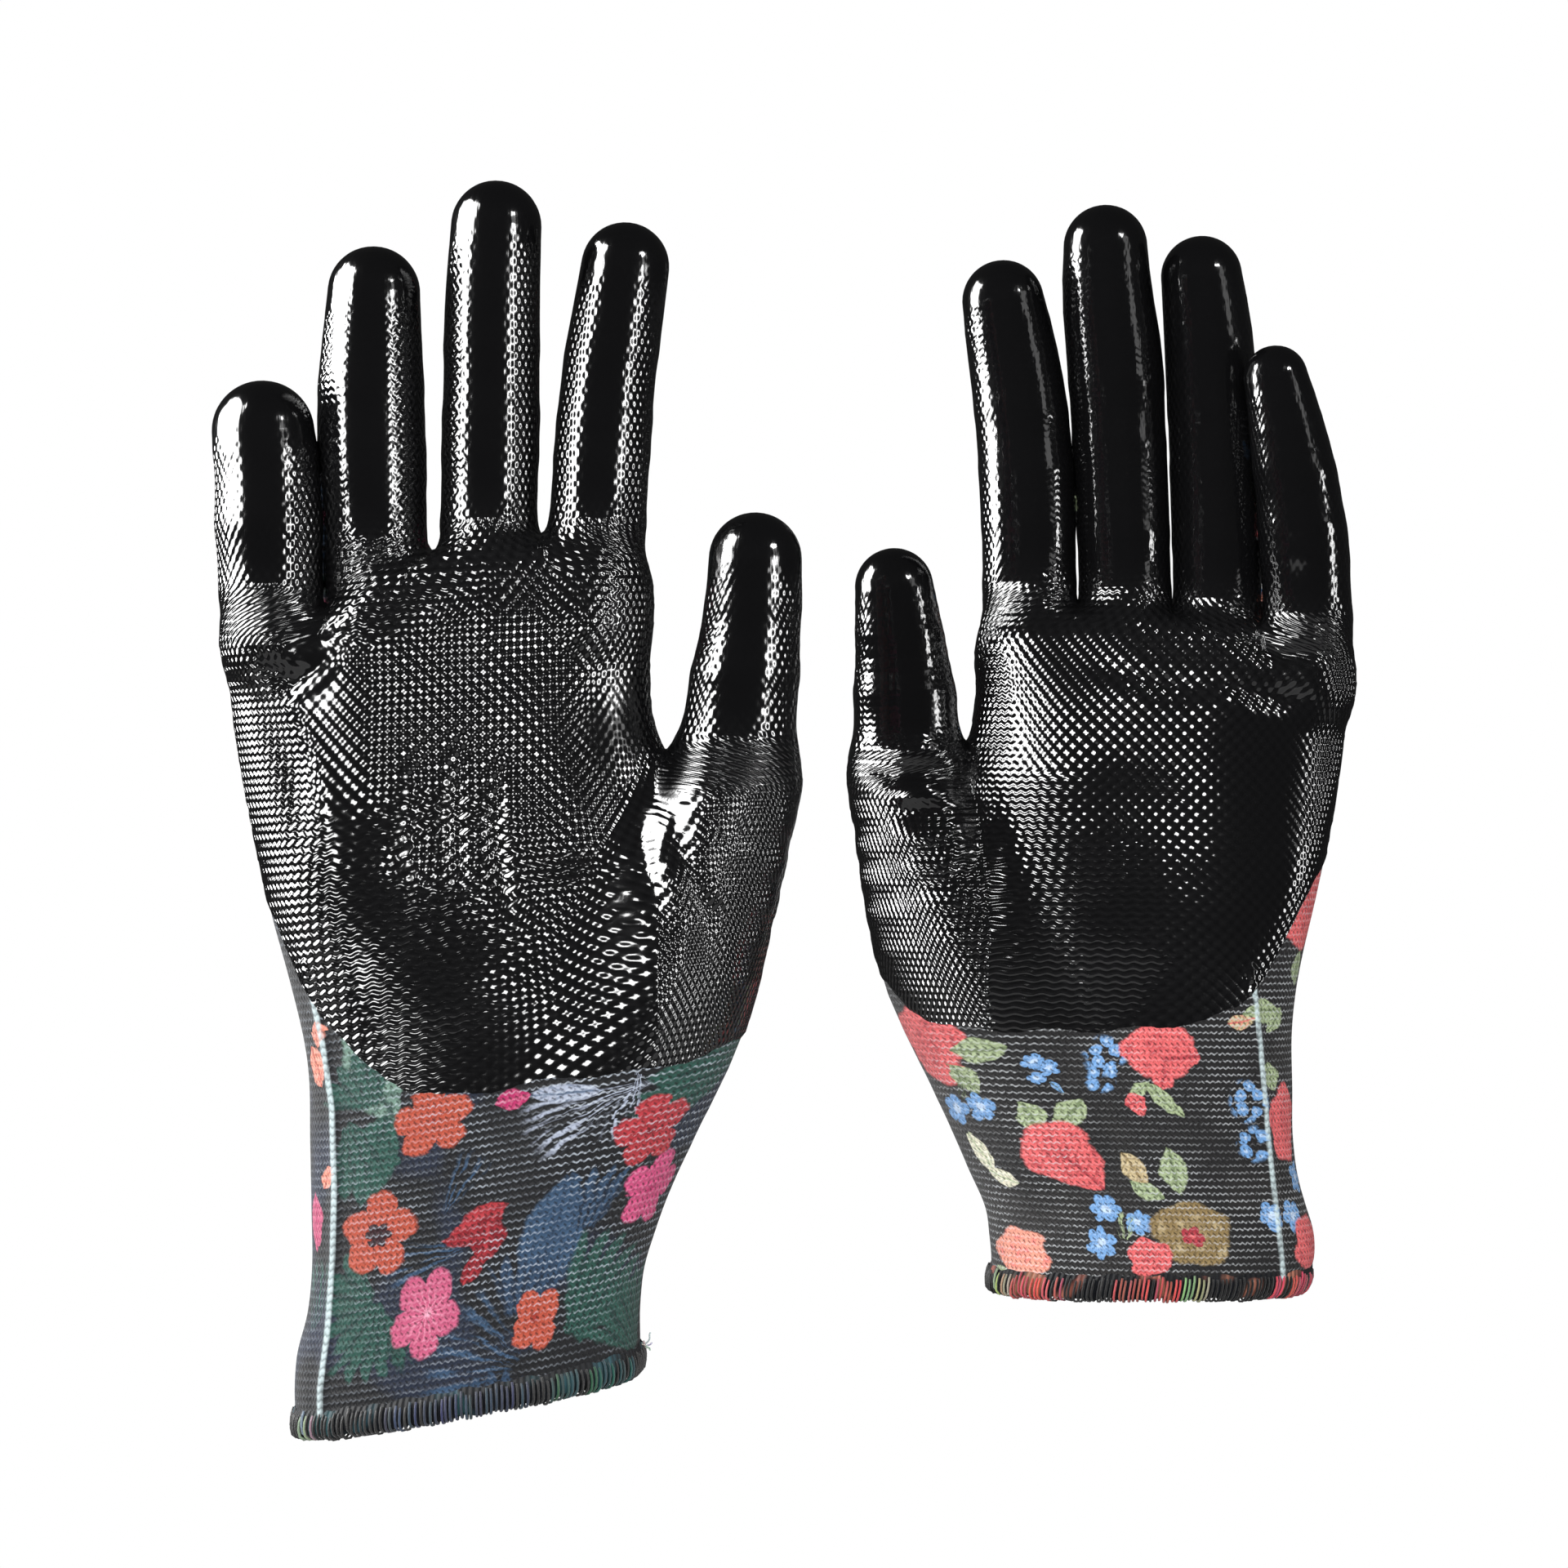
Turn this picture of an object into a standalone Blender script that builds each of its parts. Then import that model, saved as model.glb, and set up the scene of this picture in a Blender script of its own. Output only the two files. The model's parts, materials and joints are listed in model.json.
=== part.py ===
"""A pair of nitrile-dipped garden gloves, shaped as if worn, fingers up and palms towards -Y.

Each glove is a seamless knitted liner, divided where the knitting machine divides it (cuff,
five-finger body, four-finger body, finger stalls), with a nitrile coat over the palm side, an
overlocked hem, an elastic yarn inlaid in the cuff and the overlock's thread tail. Every finger
stall is divided once more at its middle crease, so that it bends at its base and at its middle.

Metres, +Z towards the fingertips. The origin is the centre of the right glove's wrist opening.
Sizes in the tables below are millimetres in each glove's own frame, from its wrist opening.
"""

import math

import bmesh
import bpy
import numpy as np
from mathutils import Vector

MM = 0.001

# Wall thicknesses and the gap between touching pieces.
KNIT = 1.2
COAT = 0.5
GAP = 0.3
SKIN = COAT + GAP  # how far the liner lies below the coat's outer face
JOINT_GAP = 0.8  # between two stall sections, at a crease
HEM_HEIGHT = 5.0

# Facets of each kind of piece.
BODY_SIDES = 24
BODY_ROWS = (0.0, 0.2, 0.4, 0.6, 0.8, 1.0)
STALL_SIDES = 12
CAP_ROWS = 3
PATCH_ROWS = (0.0, 0.17, 0.33, 0.5, 0.67, 0.83, 1.0)

# How far the coat wraps either way from the middle of the palm side.
COAT_WRAP = math.pi / 2

ELASTIC_RADIUS = 0.3
ELASTIC_TURNS = 4
ELASTIC_SPAN = (12.0, 40.0)

TAIL_RADIUS = 0.5
TAIL_LENGTH = 6.0

SQUARENESS = 2.5  # superellipse power of the hand's cross-section

# Each level of a hand's outline: height, left edge, right edge, half depth, middle's depth.
# Each digit: points of height, x, y and radius up its middle, then its cap's height. A stall
# starts at the crease plane and bends at "middle". The crease plane's height is base + slope * x.
RIGHT = {
    "place": (0.0, 0.0, 0.0),
    "yaw": 0.0,
    "thumb_yaw": 0.0,
    "hem_slope": 0.18,
    "cuff_top": 55.0,
    "thumb_plane": 118.0,
    "crease": (167.0, 0.20),
    "tail_side": 1,
    "coat_edge": (59.0, 8.0, 40.0),
    "lower": (
        (0, -31.5, 31.5, 20.0, 0.0),
        (12, -32.5, 31.5, 20.0, 0.0),
        (27, -31.0, 33.0, 20.0, 0.0),
        (41, -31.0, 36.5, 20.0, -0.5),
        (52, -31.0, 41.0, 20.0, -1.0),
        (69, -33.0, 48.5, 20.0, -2.0),
        (92, -39.0, 55.5, 19.5, -3.0),
        (118, -45.0, 60.5, 18.0, -3.0),
    ),
    "upper": (
        (118, -45.0, 36.5, 16.5, -1.0),
        (131, -46.8, 34.0, 15.0, -1.0),
        (145, -48.3, 33.0, 13.5, -2.0),
        (160, -49.3, 33.2, 12.0, -3.0),
        (175, -49.3, 33.6, 10.5, -3.0),
    ),
    "digits": {
        "little": {
            "middle": 175.0,
            "cap": 8.6,
            "line": (
                (154, -39.4, -6.5, 9.6),
                (167, -40.3, -8.0, 9.4),
                (178, -40.4, -9.5, 9.3),
                (184.6, -40.2, -10.5, 9.1),
            ),
        },
        "ring": {
            "middle": 188.0,
            "cap": 8.2,
            "line": (
                (158, -19.5, -2.0, 9.7),
                (178, -19.9, -3.5, 9.6),
                (200, -19.5, -6.5, 8.8),
                (210.8, -19.2, -9.0, 8.2),
            ),
        },
        "middle": {
            "middle": 195.0,
            "cap": 8.2,
            "line": (
                (158, 1.7, -2.0, 9.7),
                (179, 1.8, -3.0, 9.6),
                (200, 2.5, -5.5, 9.0),
                (223.4, 3.8, -10.0, 8.2),
            ),
        },
        "index": {
            "middle": 194.0,
            "cap": 8.0,
            "line": (
                (158, 22.8, -2.5, 9.6),
                (181, 23.5, -3.5, 9.6),
                (198, 25.5, -5.5, 8.8),
                (215.7, 28.4, -9.5, 8.0),
            ),
        },
        "thumb": {
            "middle": 142.0,
            "cap": 8.2,
            "line": (
                (118, 49.0, -7.0, 10.6),
                (136, 51.4, -9.5, 9.7),
                (150, 52.8, -13.0, 9.0),
                (160.4, 53.0, -15.5, 8.2),
            ),
        },
    },
}

LEFT = {
    "place": (138.0, 100.0, 6.0),
    "yaw": 12.0,
    "thumb_yaw": 26.0,
    "hem_slope": 0.0,
    "cuff_top": 52.0,
    "thumb_plane": 110.0,
    "crease": (155.0, -0.18),
    "tail_side": -1,
    "coat_edge": (56.0, 34.0, 8.0),
    "lower": (
        (0, -34.5, 34.5, 20.0, 0.0),
        (10, -34.5, 35.5, 20.0, 0.0),
        (20, -36.0, 33.0, 20.0, 0.0),
        (30, -39.5, 31.0, 20.0, -0.5),
        (47, -48.0, 30.8, 20.0, -1.0),
        (67, -57.0, 32.4, 20.0, -2.0),
        (85, -62.8, 36.5, 19.5, -3.0),
        (110, -64.6, 41.7, 18.0, -3.0),
    ),
    "upper": (
        (110, -40.4, 41.7, 16.5, -1.0),
        (122, -38.6, 43.3, 15.0, -1.0),
        (135, -37.8, 44.2, 13.5, -2.0),
        (148, -36.9, 44.4, 12.0, -3.0),
        (165, -36.4, 44.4, 10.5, -3.0),
    ),
    "digits": {
        "little": {
            "middle": 173.0,
            "cap": 7.3,
            "line": (
                (140, 35.3, -5.5, 9.1),
                (152, 34.9, -8.0, 9.1),
                (168, 33.1, -12.0, 8.9),
                (182, 30.8, -15.5, 8.4),
                (196.5, 28.4, -18.5, 7.3),
            ),
        },
        "ring": {
            "middle": 187.0,
            "cap": 8.2,
            "line": (
                (145, 15.8, -2.0, 9.4),
                (174, 15.0, -3.0, 9.3),
                (200, 13.4, -5.0, 9.2),
                (220.5, 11.4, -9.0, 8.2),
            ),
        },
        "middle": {
            "middle": 193.0,
            "cap": 8.4,
            "line": (
                (145, -4.4, -2.0, 10.0),
                (181, -5.4, -3.0, 10.0),
                (209, -7.6, -6.0, 9.6),
                (227.1, -9.6, -9.5, 8.4),
            ),
        },
        "index": {
            "middle": 187.0,
            "cap": 8.2,
            "line": (
                (145, -25.6, -2.5, 10.2),
                (181, -26.8, -3.5, 9.9),
                (202, -29.2, -6.0, 9.5),
                (215.2, -31.8, -9.0, 8.2),
            ),
        },
        "thumb": {
            "middle": 137.0,
            "cap": 8.0,
            "line": (
                (110, -52.6, -7.0, 11.2),
                (128, -53.6, -9.5, 10.6),
                (142, -54.8, -13.0, 9.4),
                (152.6, -56.0, -15.5, 8.0),
            ),
        },
    },
}

COLOURS = {
    "print": ((0.05, 0.09, 0.10, 1.0), 0.85),
    "coat": ((0.012, 0.012, 0.013, 1.0), 0.18),
    "thread": ((0.03, 0.03, 0.035, 1.0), 0.8),
    "elastic": ((0.75, 0.75, 0.78, 1.0), 0.7),
}


def clear_scene():
    for leftover in list(bpy.data.objects):
        bpy.data.objects.remove(leftover)


def new_material(name):
    colour, roughness = COLOURS[name]
    material = bpy.data.materials.new(name)
    material.use_nodes = True
    shader = material.node_tree.nodes["Principled BSDF"]
    shader.inputs["Base Color"].default_value = colour
    shader.inputs["Roughness"].default_value = roughness
    shader.inputs["Metallic"].default_value = 0.0
    return material


def smooth_row(table, height):
    """A table's row at this height, on a curve through its rows."""
    rows = np.array(table, float)
    levels = rows[:, 0]
    slopes = np.gradient(rows, levels, axis=0)
    at = float(np.clip(height, levels[0], levels[-1]))
    i = int(np.clip(np.searchsorted(levels, at) - 1, 0, len(levels) - 2))
    span = levels[i + 1] - levels[i]
    t = (at - levels[i]) / span
    start = (1 + 2 * t) * (1 - t) ** 2 * rows[i] + t * (1 - t) ** 2 * span * slopes[i]
    end = t * t * (3 - 2 * t) * rows[i + 1] - t * t * (1 - t) * span * slopes[i + 1]
    return (start + end)[1:]


def power(value, exponent):
    return math.copysign(abs(value) ** exponent, value)


def body_point(table, height, angle, offset):
    """A point offset from the hand's outer face, at this height and angle round it."""
    left, right, half_depth, depth = smooth_row(table, height)
    x = (left + right) / 2 + ((right - left) / 2 + offset) * power(
        math.cos(angle), 2 / SQUARENESS
    )
    y = depth + (half_depth + offset) * power(math.sin(angle), 2 / SQUARENESS)
    return Vector((x, y, height))


def stall_point(digit, height, latitude, angle, offset):
    """A point offset from a stall's outer face: at this height up its wall, or at this
    latitude over its tip."""
    x, y, radius = smooth_row(digit["line"], height)
    reach = (radius + offset) * math.cos(latitude)
    rise = (digit["cap"] + offset) * math.sin(latitude)
    return Vector(
        (x + reach * math.cos(angle), y + reach * math.sin(angle), height + rise)
    )


def settle(level_at, point_at):
    """The point whose height is the level at its own x, for a level that slants."""
    point = point_at(level_at(0.0))
    for _ in range(3):
        point = point_at(level_at(point.x))
    point.z = level_at(point.x)
    return point


def from_grid(name, columns, rows, place, collection, origin, glove, material):
    """One object: a grid primitive whose points are moved to place(u, v), u and v from 0 to 1."""
    shape = bmesh.new()
    bmesh.ops.create_grid(shape, x_segments=columns, y_segments=rows, size=0.5)
    move = Vector(glove["place"])
    for vertex in shape.verts:
        point = place(vertex.co.x + 0.5, vertex.co.y + 0.5)
        vertex.co = (point + move) * MM - origin
    bmesh.ops.remove_doubles(shape, verts=shape.verts, dist=0.01 * MM)
    mesh = bpy.data.meshes.new(name)
    shape.to_mesh(mesh)
    shape.free()
    return finish_object(name, mesh, collection, origin, material)


def finish_object(name, data, collection, origin, material):
    made = bpy.data.objects.new(name, data)
    made.location = origin
    data.materials.append(material)
    collection.objects.link(made)
    if made.type == "MESH":
        data.shade_smooth()
        data.set_sharp_from_angle(angle=math.radians(50))
    return made


def section_wall(stops, inner):
    """Rows of a wall's section: up the outer face by stops, and back down the inner one."""
    return [(stop, 0.0) for stop in stops] + [(stop, inner) for stop in stops[::-1]]


def ring_wall(name, glove, stops, height_at, inner, outer, table, where):
    """A piece of the hand as an open tube: its wall's section carried round the hand."""
    section = section_wall(stops, inner)
    section.append(section[0])

    def place(u, v):
        stop, depth = section[round(v * (len(section) - 1))]
        angle = 2 * math.pi * u
        return settle(
            lambda x: height_at(stop, x),
            lambda level: body_point(table, level, angle, outer + depth),
        )

    return from_grid(name, BODY_SIDES, len(section) - 1, place, *where)


def coat_patch(name, stops, place_row, columns, where):
    """A sheet over the palm side, thickened outwards. Its columns lie over the liner's."""

    def place(u, v):
        across = 2 * u - 1
        angle = -math.pi / 2 + COAT_WRAP * across
        return place_row(stops[round(v * (len(stops) - 1))], angle, across)

    made = from_grid(name, columns, len(stops) - 1, place, *where)
    shell = made.modifiers.new("thickness", "SOLIDIFY")
    shell.thickness = COAT * MM
    shell.offset = 1.0
    shell.use_even_offset = True
    return made


def hem_height(glove, x):
    return glove["hem_slope"] * x


def crease_height(glove, x):
    base, slope = glove["crease"]
    return base + slope * x


def stall_rise(glove, digit_name, low):
    """How a stall's wall rows turn from its slanted base to level rows: each row's height."""
    digit = glove["digits"][digit_name]
    thumb = digit_name == "thumb"

    def rise(share, x):
        x_mid = smooth_row(digit["line"], low)[0]
        top = digit["middle"] - JOINT_GAP / 2
        level = low + (top - low) * share
        slant = 0.0 if thumb else glove["crease"][1]
        return level + slant * (x - x_mid) * (1 - share)

    return rise


def digit_base_height(glove, digit_name):
    """The height of a stall's lowest row, at its middle."""
    if digit_name == "thumb":
        return glove["thumb_plane"] + JOINT_GAP / 2
    line = glove["digits"][digit_name]["line"]
    x = smooth_row(line, crease_height(glove, line[0][1]))[0]
    return crease_height(glove, x) + JOINT_GAP / 2


def base_section(name, glove, digit_name, where):
    """The stall between its two creases: an open tube."""
    digit = glove["digits"][digit_name]
    low = digit_base_height(glove, digit_name)
    rise = stall_rise(glove, digit_name, low)
    section = section_wall((0.0, 0.5, 1.0), -KNIT)
    section.append(section[0])

    def place(u, v):
        share, depth = section[round(v * (len(section) - 1))]
        angle = 2 * math.pi * u
        return settle(
            lambda x: rise(share, x),
            lambda level: stall_point(digit, level, 0.0, angle, depth - SKIN),
        )

    return from_grid(name, STALL_SIDES, len(section) - 1, place, *where)


def tip_rows(digit):
    """Rows of the tip section: heights up the wall, then latitudes over the cap."""
    low = digit["middle"] + JOINT_GAP / 2
    high = digit["line"][-1][0]
    rows = [(low, 0.0), ((low + high) / 2, 0.0)]
    return rows + [
        (high, math.pi / 2 * step / CAP_ROWS) for step in range(CAP_ROWS + 1)
    ]


def tip_section(name, glove, digit_name, where):
    """The stall above its middle crease: a tube with a closed, rounded end."""
    digit = glove["digits"][digit_name]
    rows = tip_rows(digit)
    section = [(*row, 0.0) for row in rows[::-1]] + [(*row, -KNIT) for row in rows]

    def place(u, v):
        height, latitude, depth = section[round(v * (len(section) - 1))]
        angle = -2 * math.pi * u
        return stall_point(digit, height, latitude, angle, depth - SKIN)

    return from_grid(name, STALL_SIDES, len(section) - 1, place, *where)


def base_coat(name, glove, digit_name, where):
    """The coat over the palm side of a stall's base section."""
    digit = glove["digits"][digit_name]
    low = digit_base_height(glove, digit_name)
    rise = stall_rise(glove, digit_name, low)

    def row(share, angle, _):
        return settle(
            lambda x: rise(share, x),
            lambda level: stall_point(digit, level, 0.0, angle, -COAT),
        )

    return coat_patch(name, (0.0, 0.5, 1.0), row, STALL_SIDES // 2, where)


def tip_coat(name, glove, digit_name, where):
    """The coat over the palm side of a stall's tip section, up to the end of the fingertip."""
    digit = glove["digits"][digit_name]

    def row(stop, angle, _):
        return stall_point(digit, *stop, angle, -COAT)

    return coat_patch(name, tip_rows(digit), row, STALL_SIDES // 2, where)


def coat_edge_height(glove, across):
    """The dip line on the palm: lowest in the middle, rising towards each side."""
    middle, rise_left, rise_right = glove["coat_edge"]
    rise = rise_right if across > 0 else rise_left
    return middle + rise * abs(across) ** 2.2


def palm_coat(name, glove, section, where):
    """The coat over the palm side of the five-finger or the four-finger body."""
    upper = section == "upper"
    thumb_plane = glove["thumb_plane"]

    def row(share, angle, across):
        low = thumb_plane + GAP if upper else coat_edge_height(glove, across)

        def level_at(x):
            high = crease_height(glove, x) - JOINT_GAP / 2 if upper else thumb_plane - GAP
            return low + (high - low) * share

        return settle(
            level_at, lambda level: body_point(glove[section], level, angle, GAP)
        )

    return coat_patch(name, PATCH_ROWS, row, BODY_SIDES // 2, where)


def elastic_yarn(name, glove, collection, material):
    """The yarn that grips the wrist, wound round the cuff's inner face."""
    low, high = ELASTIC_SPAN
    steps = ELASTIC_TURNS * BODY_SIDES
    inset = -(KNIT + GAP + 2 * ELASTIC_RADIUS + 0.4)
    move = Vector(glove["place"])
    curve = bpy.data.curves.new(name, "CURVE")
    curve.dimensions = "3D"
    curve.bevel_depth = ELASTIC_RADIUS * MM
    curve.bevel_resolution = 0
    curve.use_fill_caps = True
    line = curve.splines.new("POLY")
    line.points.add(steps)
    for step, point in enumerate(line.points):
        angle = 2 * math.pi * step / BODY_SIDES
        height = low + (high - low) * step / steps
        on_wall = body_point(glove["lower"], height, angle, inset)
        point.co = (*((on_wall + move) * MM), 1.0)
    return finish_object(name, curve, collection, Vector(), material)


def thread_tail(name, glove, collection, material):
    """The overlock's cut chain of thread, which curls out from one end of the hem."""
    side = glove["tail_side"]
    start = body_point(glove["lower"], 0.0, 0.0 if side > 0 else math.pi, 0.0)
    start.z = hem_height(glove, start.x) + HEM_HEIGHT / 2
    start.x += side * (1.0 + GAP + TAIL_RADIUS)
    move = Vector(glove["place"])
    curve = bpy.data.curves.new(name, "CURVE")
    curve.dimensions = "3D"
    curve.bevel_depth = TAIL_RADIUS * MM
    curve.bevel_resolution = 1
    curve.use_fill_caps = True
    line = curve.splines.new("POLY")
    line.points.add(4)
    for step, point in enumerate(line.points):
        share = step / 4
        bend = Vector((side * 2.5 * share**2, 1.5 * share, TAIL_LENGTH * share * 0.8))
        point.co = (*((start + bend + move) * MM), 1.0)
    return finish_object(name, curve, collection, Vector(), material)


def hinge_point(glove, digit_name, crease):
    """Where a stall's hinge line crosses it, in metres: on the coat's outer face, at the
    "base" or the "middle" crease, on the side that the stall bends towards."""
    digit = glove["digits"][digit_name]
    if crease == "middle":
        height = digit["middle"]
    else:
        height = digit_base_height(glove, digit_name) - JOINT_GAP / 2
    x, y, radius = smooth_row(digit["line"], height)
    turn = math.radians(glove["thumb_yaw" if digit_name == "thumb" else "yaw"])
    forward = Vector((-math.sin(turn), -math.cos(turn), 0.0))
    point = Vector((x, y, height)) + forward * float(radius)
    return (point + Vector(glove["place"])) * MM


def build_glove(side, glove, collection, materials):
    print_knit, coat, thread, elastic = (
        materials[slot] for slot in ("print", "coat", "thread", "elastic")
    )
    at_rest = (collection, Vector(), glove)
    lower, upper = glove["lower"], glove["upper"]
    cuff_top, thumb_plane = glove["cuff_top"], glove["thumb_plane"]

    def hem_level(share, x):
        return hem_height(glove, x) + HEM_HEIGHT * share

    def cuff_level(share, x):
        low = hem_height(glove, x) + HEM_HEIGHT + GAP
        return low + (cuff_top - low) * share

    def lower_level(share, _):
        low = cuff_top + GAP
        return low + (thumb_plane - GAP / 2 - low) * share

    def upper_level(share, x):
        low = thumb_plane + GAP / 2
        return low + (crease_height(glove, x) - JOINT_GAP / 2 - low) * share

    ring_wall(
        f"{side}_hem_overlock", glove, (0.0, 1.0), hem_level, -2.4, 1.0, lower, (*at_rest, thread)
    )
    ring_wall(f"{side}_cuff", glove, BODY_ROWS, cuff_level, -KNIT, 0.0, lower, (*at_rest, print_knit))
    ring_wall(
        f"{side}_five_finger_body",
        glove,
        BODY_ROWS,
        lower_level,
        -KNIT,
        0.0,
        lower,
        (*at_rest, print_knit),
    )
    ring_wall(
        f"{side}_four_finger_body",
        glove,
        BODY_ROWS,
        upper_level,
        -KNIT,
        0.0,
        upper,
        (*at_rest, print_knit),
    )
    palm_coat(f"{side}_palm_coat_lower", glove, "lower", (*at_rest, coat))
    palm_coat(f"{side}_palm_coat_upper", glove, "upper", (*at_rest, coat))
    elastic_yarn(f"{side}_cuff_elastic", glove, collection, elastic)
    thread_tail(f"{side}_thread_tail", glove, collection, thread)
    for digit_name in glove["digits"]:
        stall = f"{side}_{digit_name}"
        at_base = (collection, hinge_point(glove, digit_name, "base"), glove)
        at_middle = (collection, hinge_point(glove, digit_name, "middle"), glove)
        base_section(f"{stall}_base", glove, digit_name, (*at_base, print_knit))
        base_coat(f"{stall}_base_coat", glove, digit_name, (*at_base, coat))
        tip_section(f"{stall}_tip", glove, digit_name, (*at_middle, print_knit))
        tip_coat(f"{stall}_tip_coat", glove, digit_name, (*at_middle, coat))


def main():
    clear_scene()
    collection = bpy.data.collections.new("garden_gloves")
    bpy.context.scene.collection.children.link(collection)
    materials = {name: new_material(name) for name in COLOURS}
    build_glove("right", RIGHT, collection, materials)
    build_glove("left", LEFT, collection, materials)


main()
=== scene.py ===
"""The looks of a pair of nitrile-dipped garden gloves, on the frame packed from the CAD.

Each glove's skin is one distance field, meshed once and then divided where the fingers bend.
The liner and the coat are the same skin: the coat is lifted off it, and tucks under it at its edge.
Lengths in the tables are millimetres in each glove's own frame, from its wrist opening.
"""

import json
import math

import bmesh
import bpy
import numpy as np
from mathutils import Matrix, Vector

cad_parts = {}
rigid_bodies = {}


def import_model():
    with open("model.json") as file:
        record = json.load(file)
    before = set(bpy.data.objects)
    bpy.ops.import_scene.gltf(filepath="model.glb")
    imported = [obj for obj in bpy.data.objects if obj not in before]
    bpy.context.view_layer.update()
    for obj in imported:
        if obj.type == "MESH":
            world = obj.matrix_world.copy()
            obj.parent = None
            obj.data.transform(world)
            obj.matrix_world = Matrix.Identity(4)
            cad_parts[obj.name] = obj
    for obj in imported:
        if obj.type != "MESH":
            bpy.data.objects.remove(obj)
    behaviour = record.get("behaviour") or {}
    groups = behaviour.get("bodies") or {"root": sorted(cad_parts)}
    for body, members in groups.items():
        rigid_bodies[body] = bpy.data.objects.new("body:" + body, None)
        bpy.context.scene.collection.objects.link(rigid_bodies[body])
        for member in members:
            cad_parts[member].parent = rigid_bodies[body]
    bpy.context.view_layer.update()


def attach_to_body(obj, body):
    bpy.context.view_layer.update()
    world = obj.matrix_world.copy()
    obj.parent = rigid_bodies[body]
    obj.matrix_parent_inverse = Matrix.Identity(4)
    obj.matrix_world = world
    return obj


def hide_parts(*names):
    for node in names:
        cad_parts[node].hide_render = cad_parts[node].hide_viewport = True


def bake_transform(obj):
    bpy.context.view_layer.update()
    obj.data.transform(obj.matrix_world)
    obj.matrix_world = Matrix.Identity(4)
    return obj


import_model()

MM = 0.001
GRID = 1.15
COAT_LIFT = 0.45
LINER_WALL = 1.2
SQUARENESS = 2.5
AROUND = 180.0  # the knit's width round the hand, the same at every height
REPEAT = 60.0  # the width after which the printed pattern repeats
FILLET = 5.0  # between the fingers
THUMB_FILLET = 4.0
TURN = 2 * math.pi
COAT_WALE, COAT_COURSE = 1.66, 2.9  # one stitch's width and height, seen through the coat
PRINT_WALE, PRINT_COURSE = 1.2, 1.5  # and in the printed knit
MIDDLE = (0.060, 0.040, 0.115)  # what the lights turn round, in metres
CAMERA_PLACE = (0.0587, -0.7087, 0.1183)  # in metres
SENSOR_WIDTH = 36.0
FOCAL_LENGTH = 84.675  # in millimetres, like the sensor's width
HEM_SEGMENTS = 260
HEM_STITCHES = 190
HEM_PROFILE = (  # the rolled edge's section: height, and distance out from the knit
    (5.6, 0.15), (4.6, 0.55), (2.8, 0.85), (1.2, 0.8), (0.4, 0.2), (0.4, -0.6), (1.4, -1.4),
    (3.4, -1.5), (5.2, -1.3),
)
STITCH_PROFILE = (  # the overlock's loop over that edge
    (4.8, 0.45), (3.8, 0.9), (2.4, 1.15), (1.0, 1.05), (0.2, 0.4), (0.0, -0.5), (0.9, -1.7),
    (2.6, -1.95),
)
COLUMNS = (-44.0, -14.0, 12.0, 44.0)  # the print's cells on the palm side, round the knit
LEVELS = (-5.0, 36.0, 92.0)  # and along it
FRONT_CELLS = tuple(
    (low_u, high_u, low_v, high_v)
    for low_v, high_v in zip(LEVELS[:-1], LEVELS[1:])
    for low_u, high_u in zip(COLUMNS[:-1], COLUMNS[1:])
)
BACK_CELLS = ((-90, -44, -20, 92), (44, 90, -20, 92), (-90, 90, 92, 250), (-44, 44, -20, -5))

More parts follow.
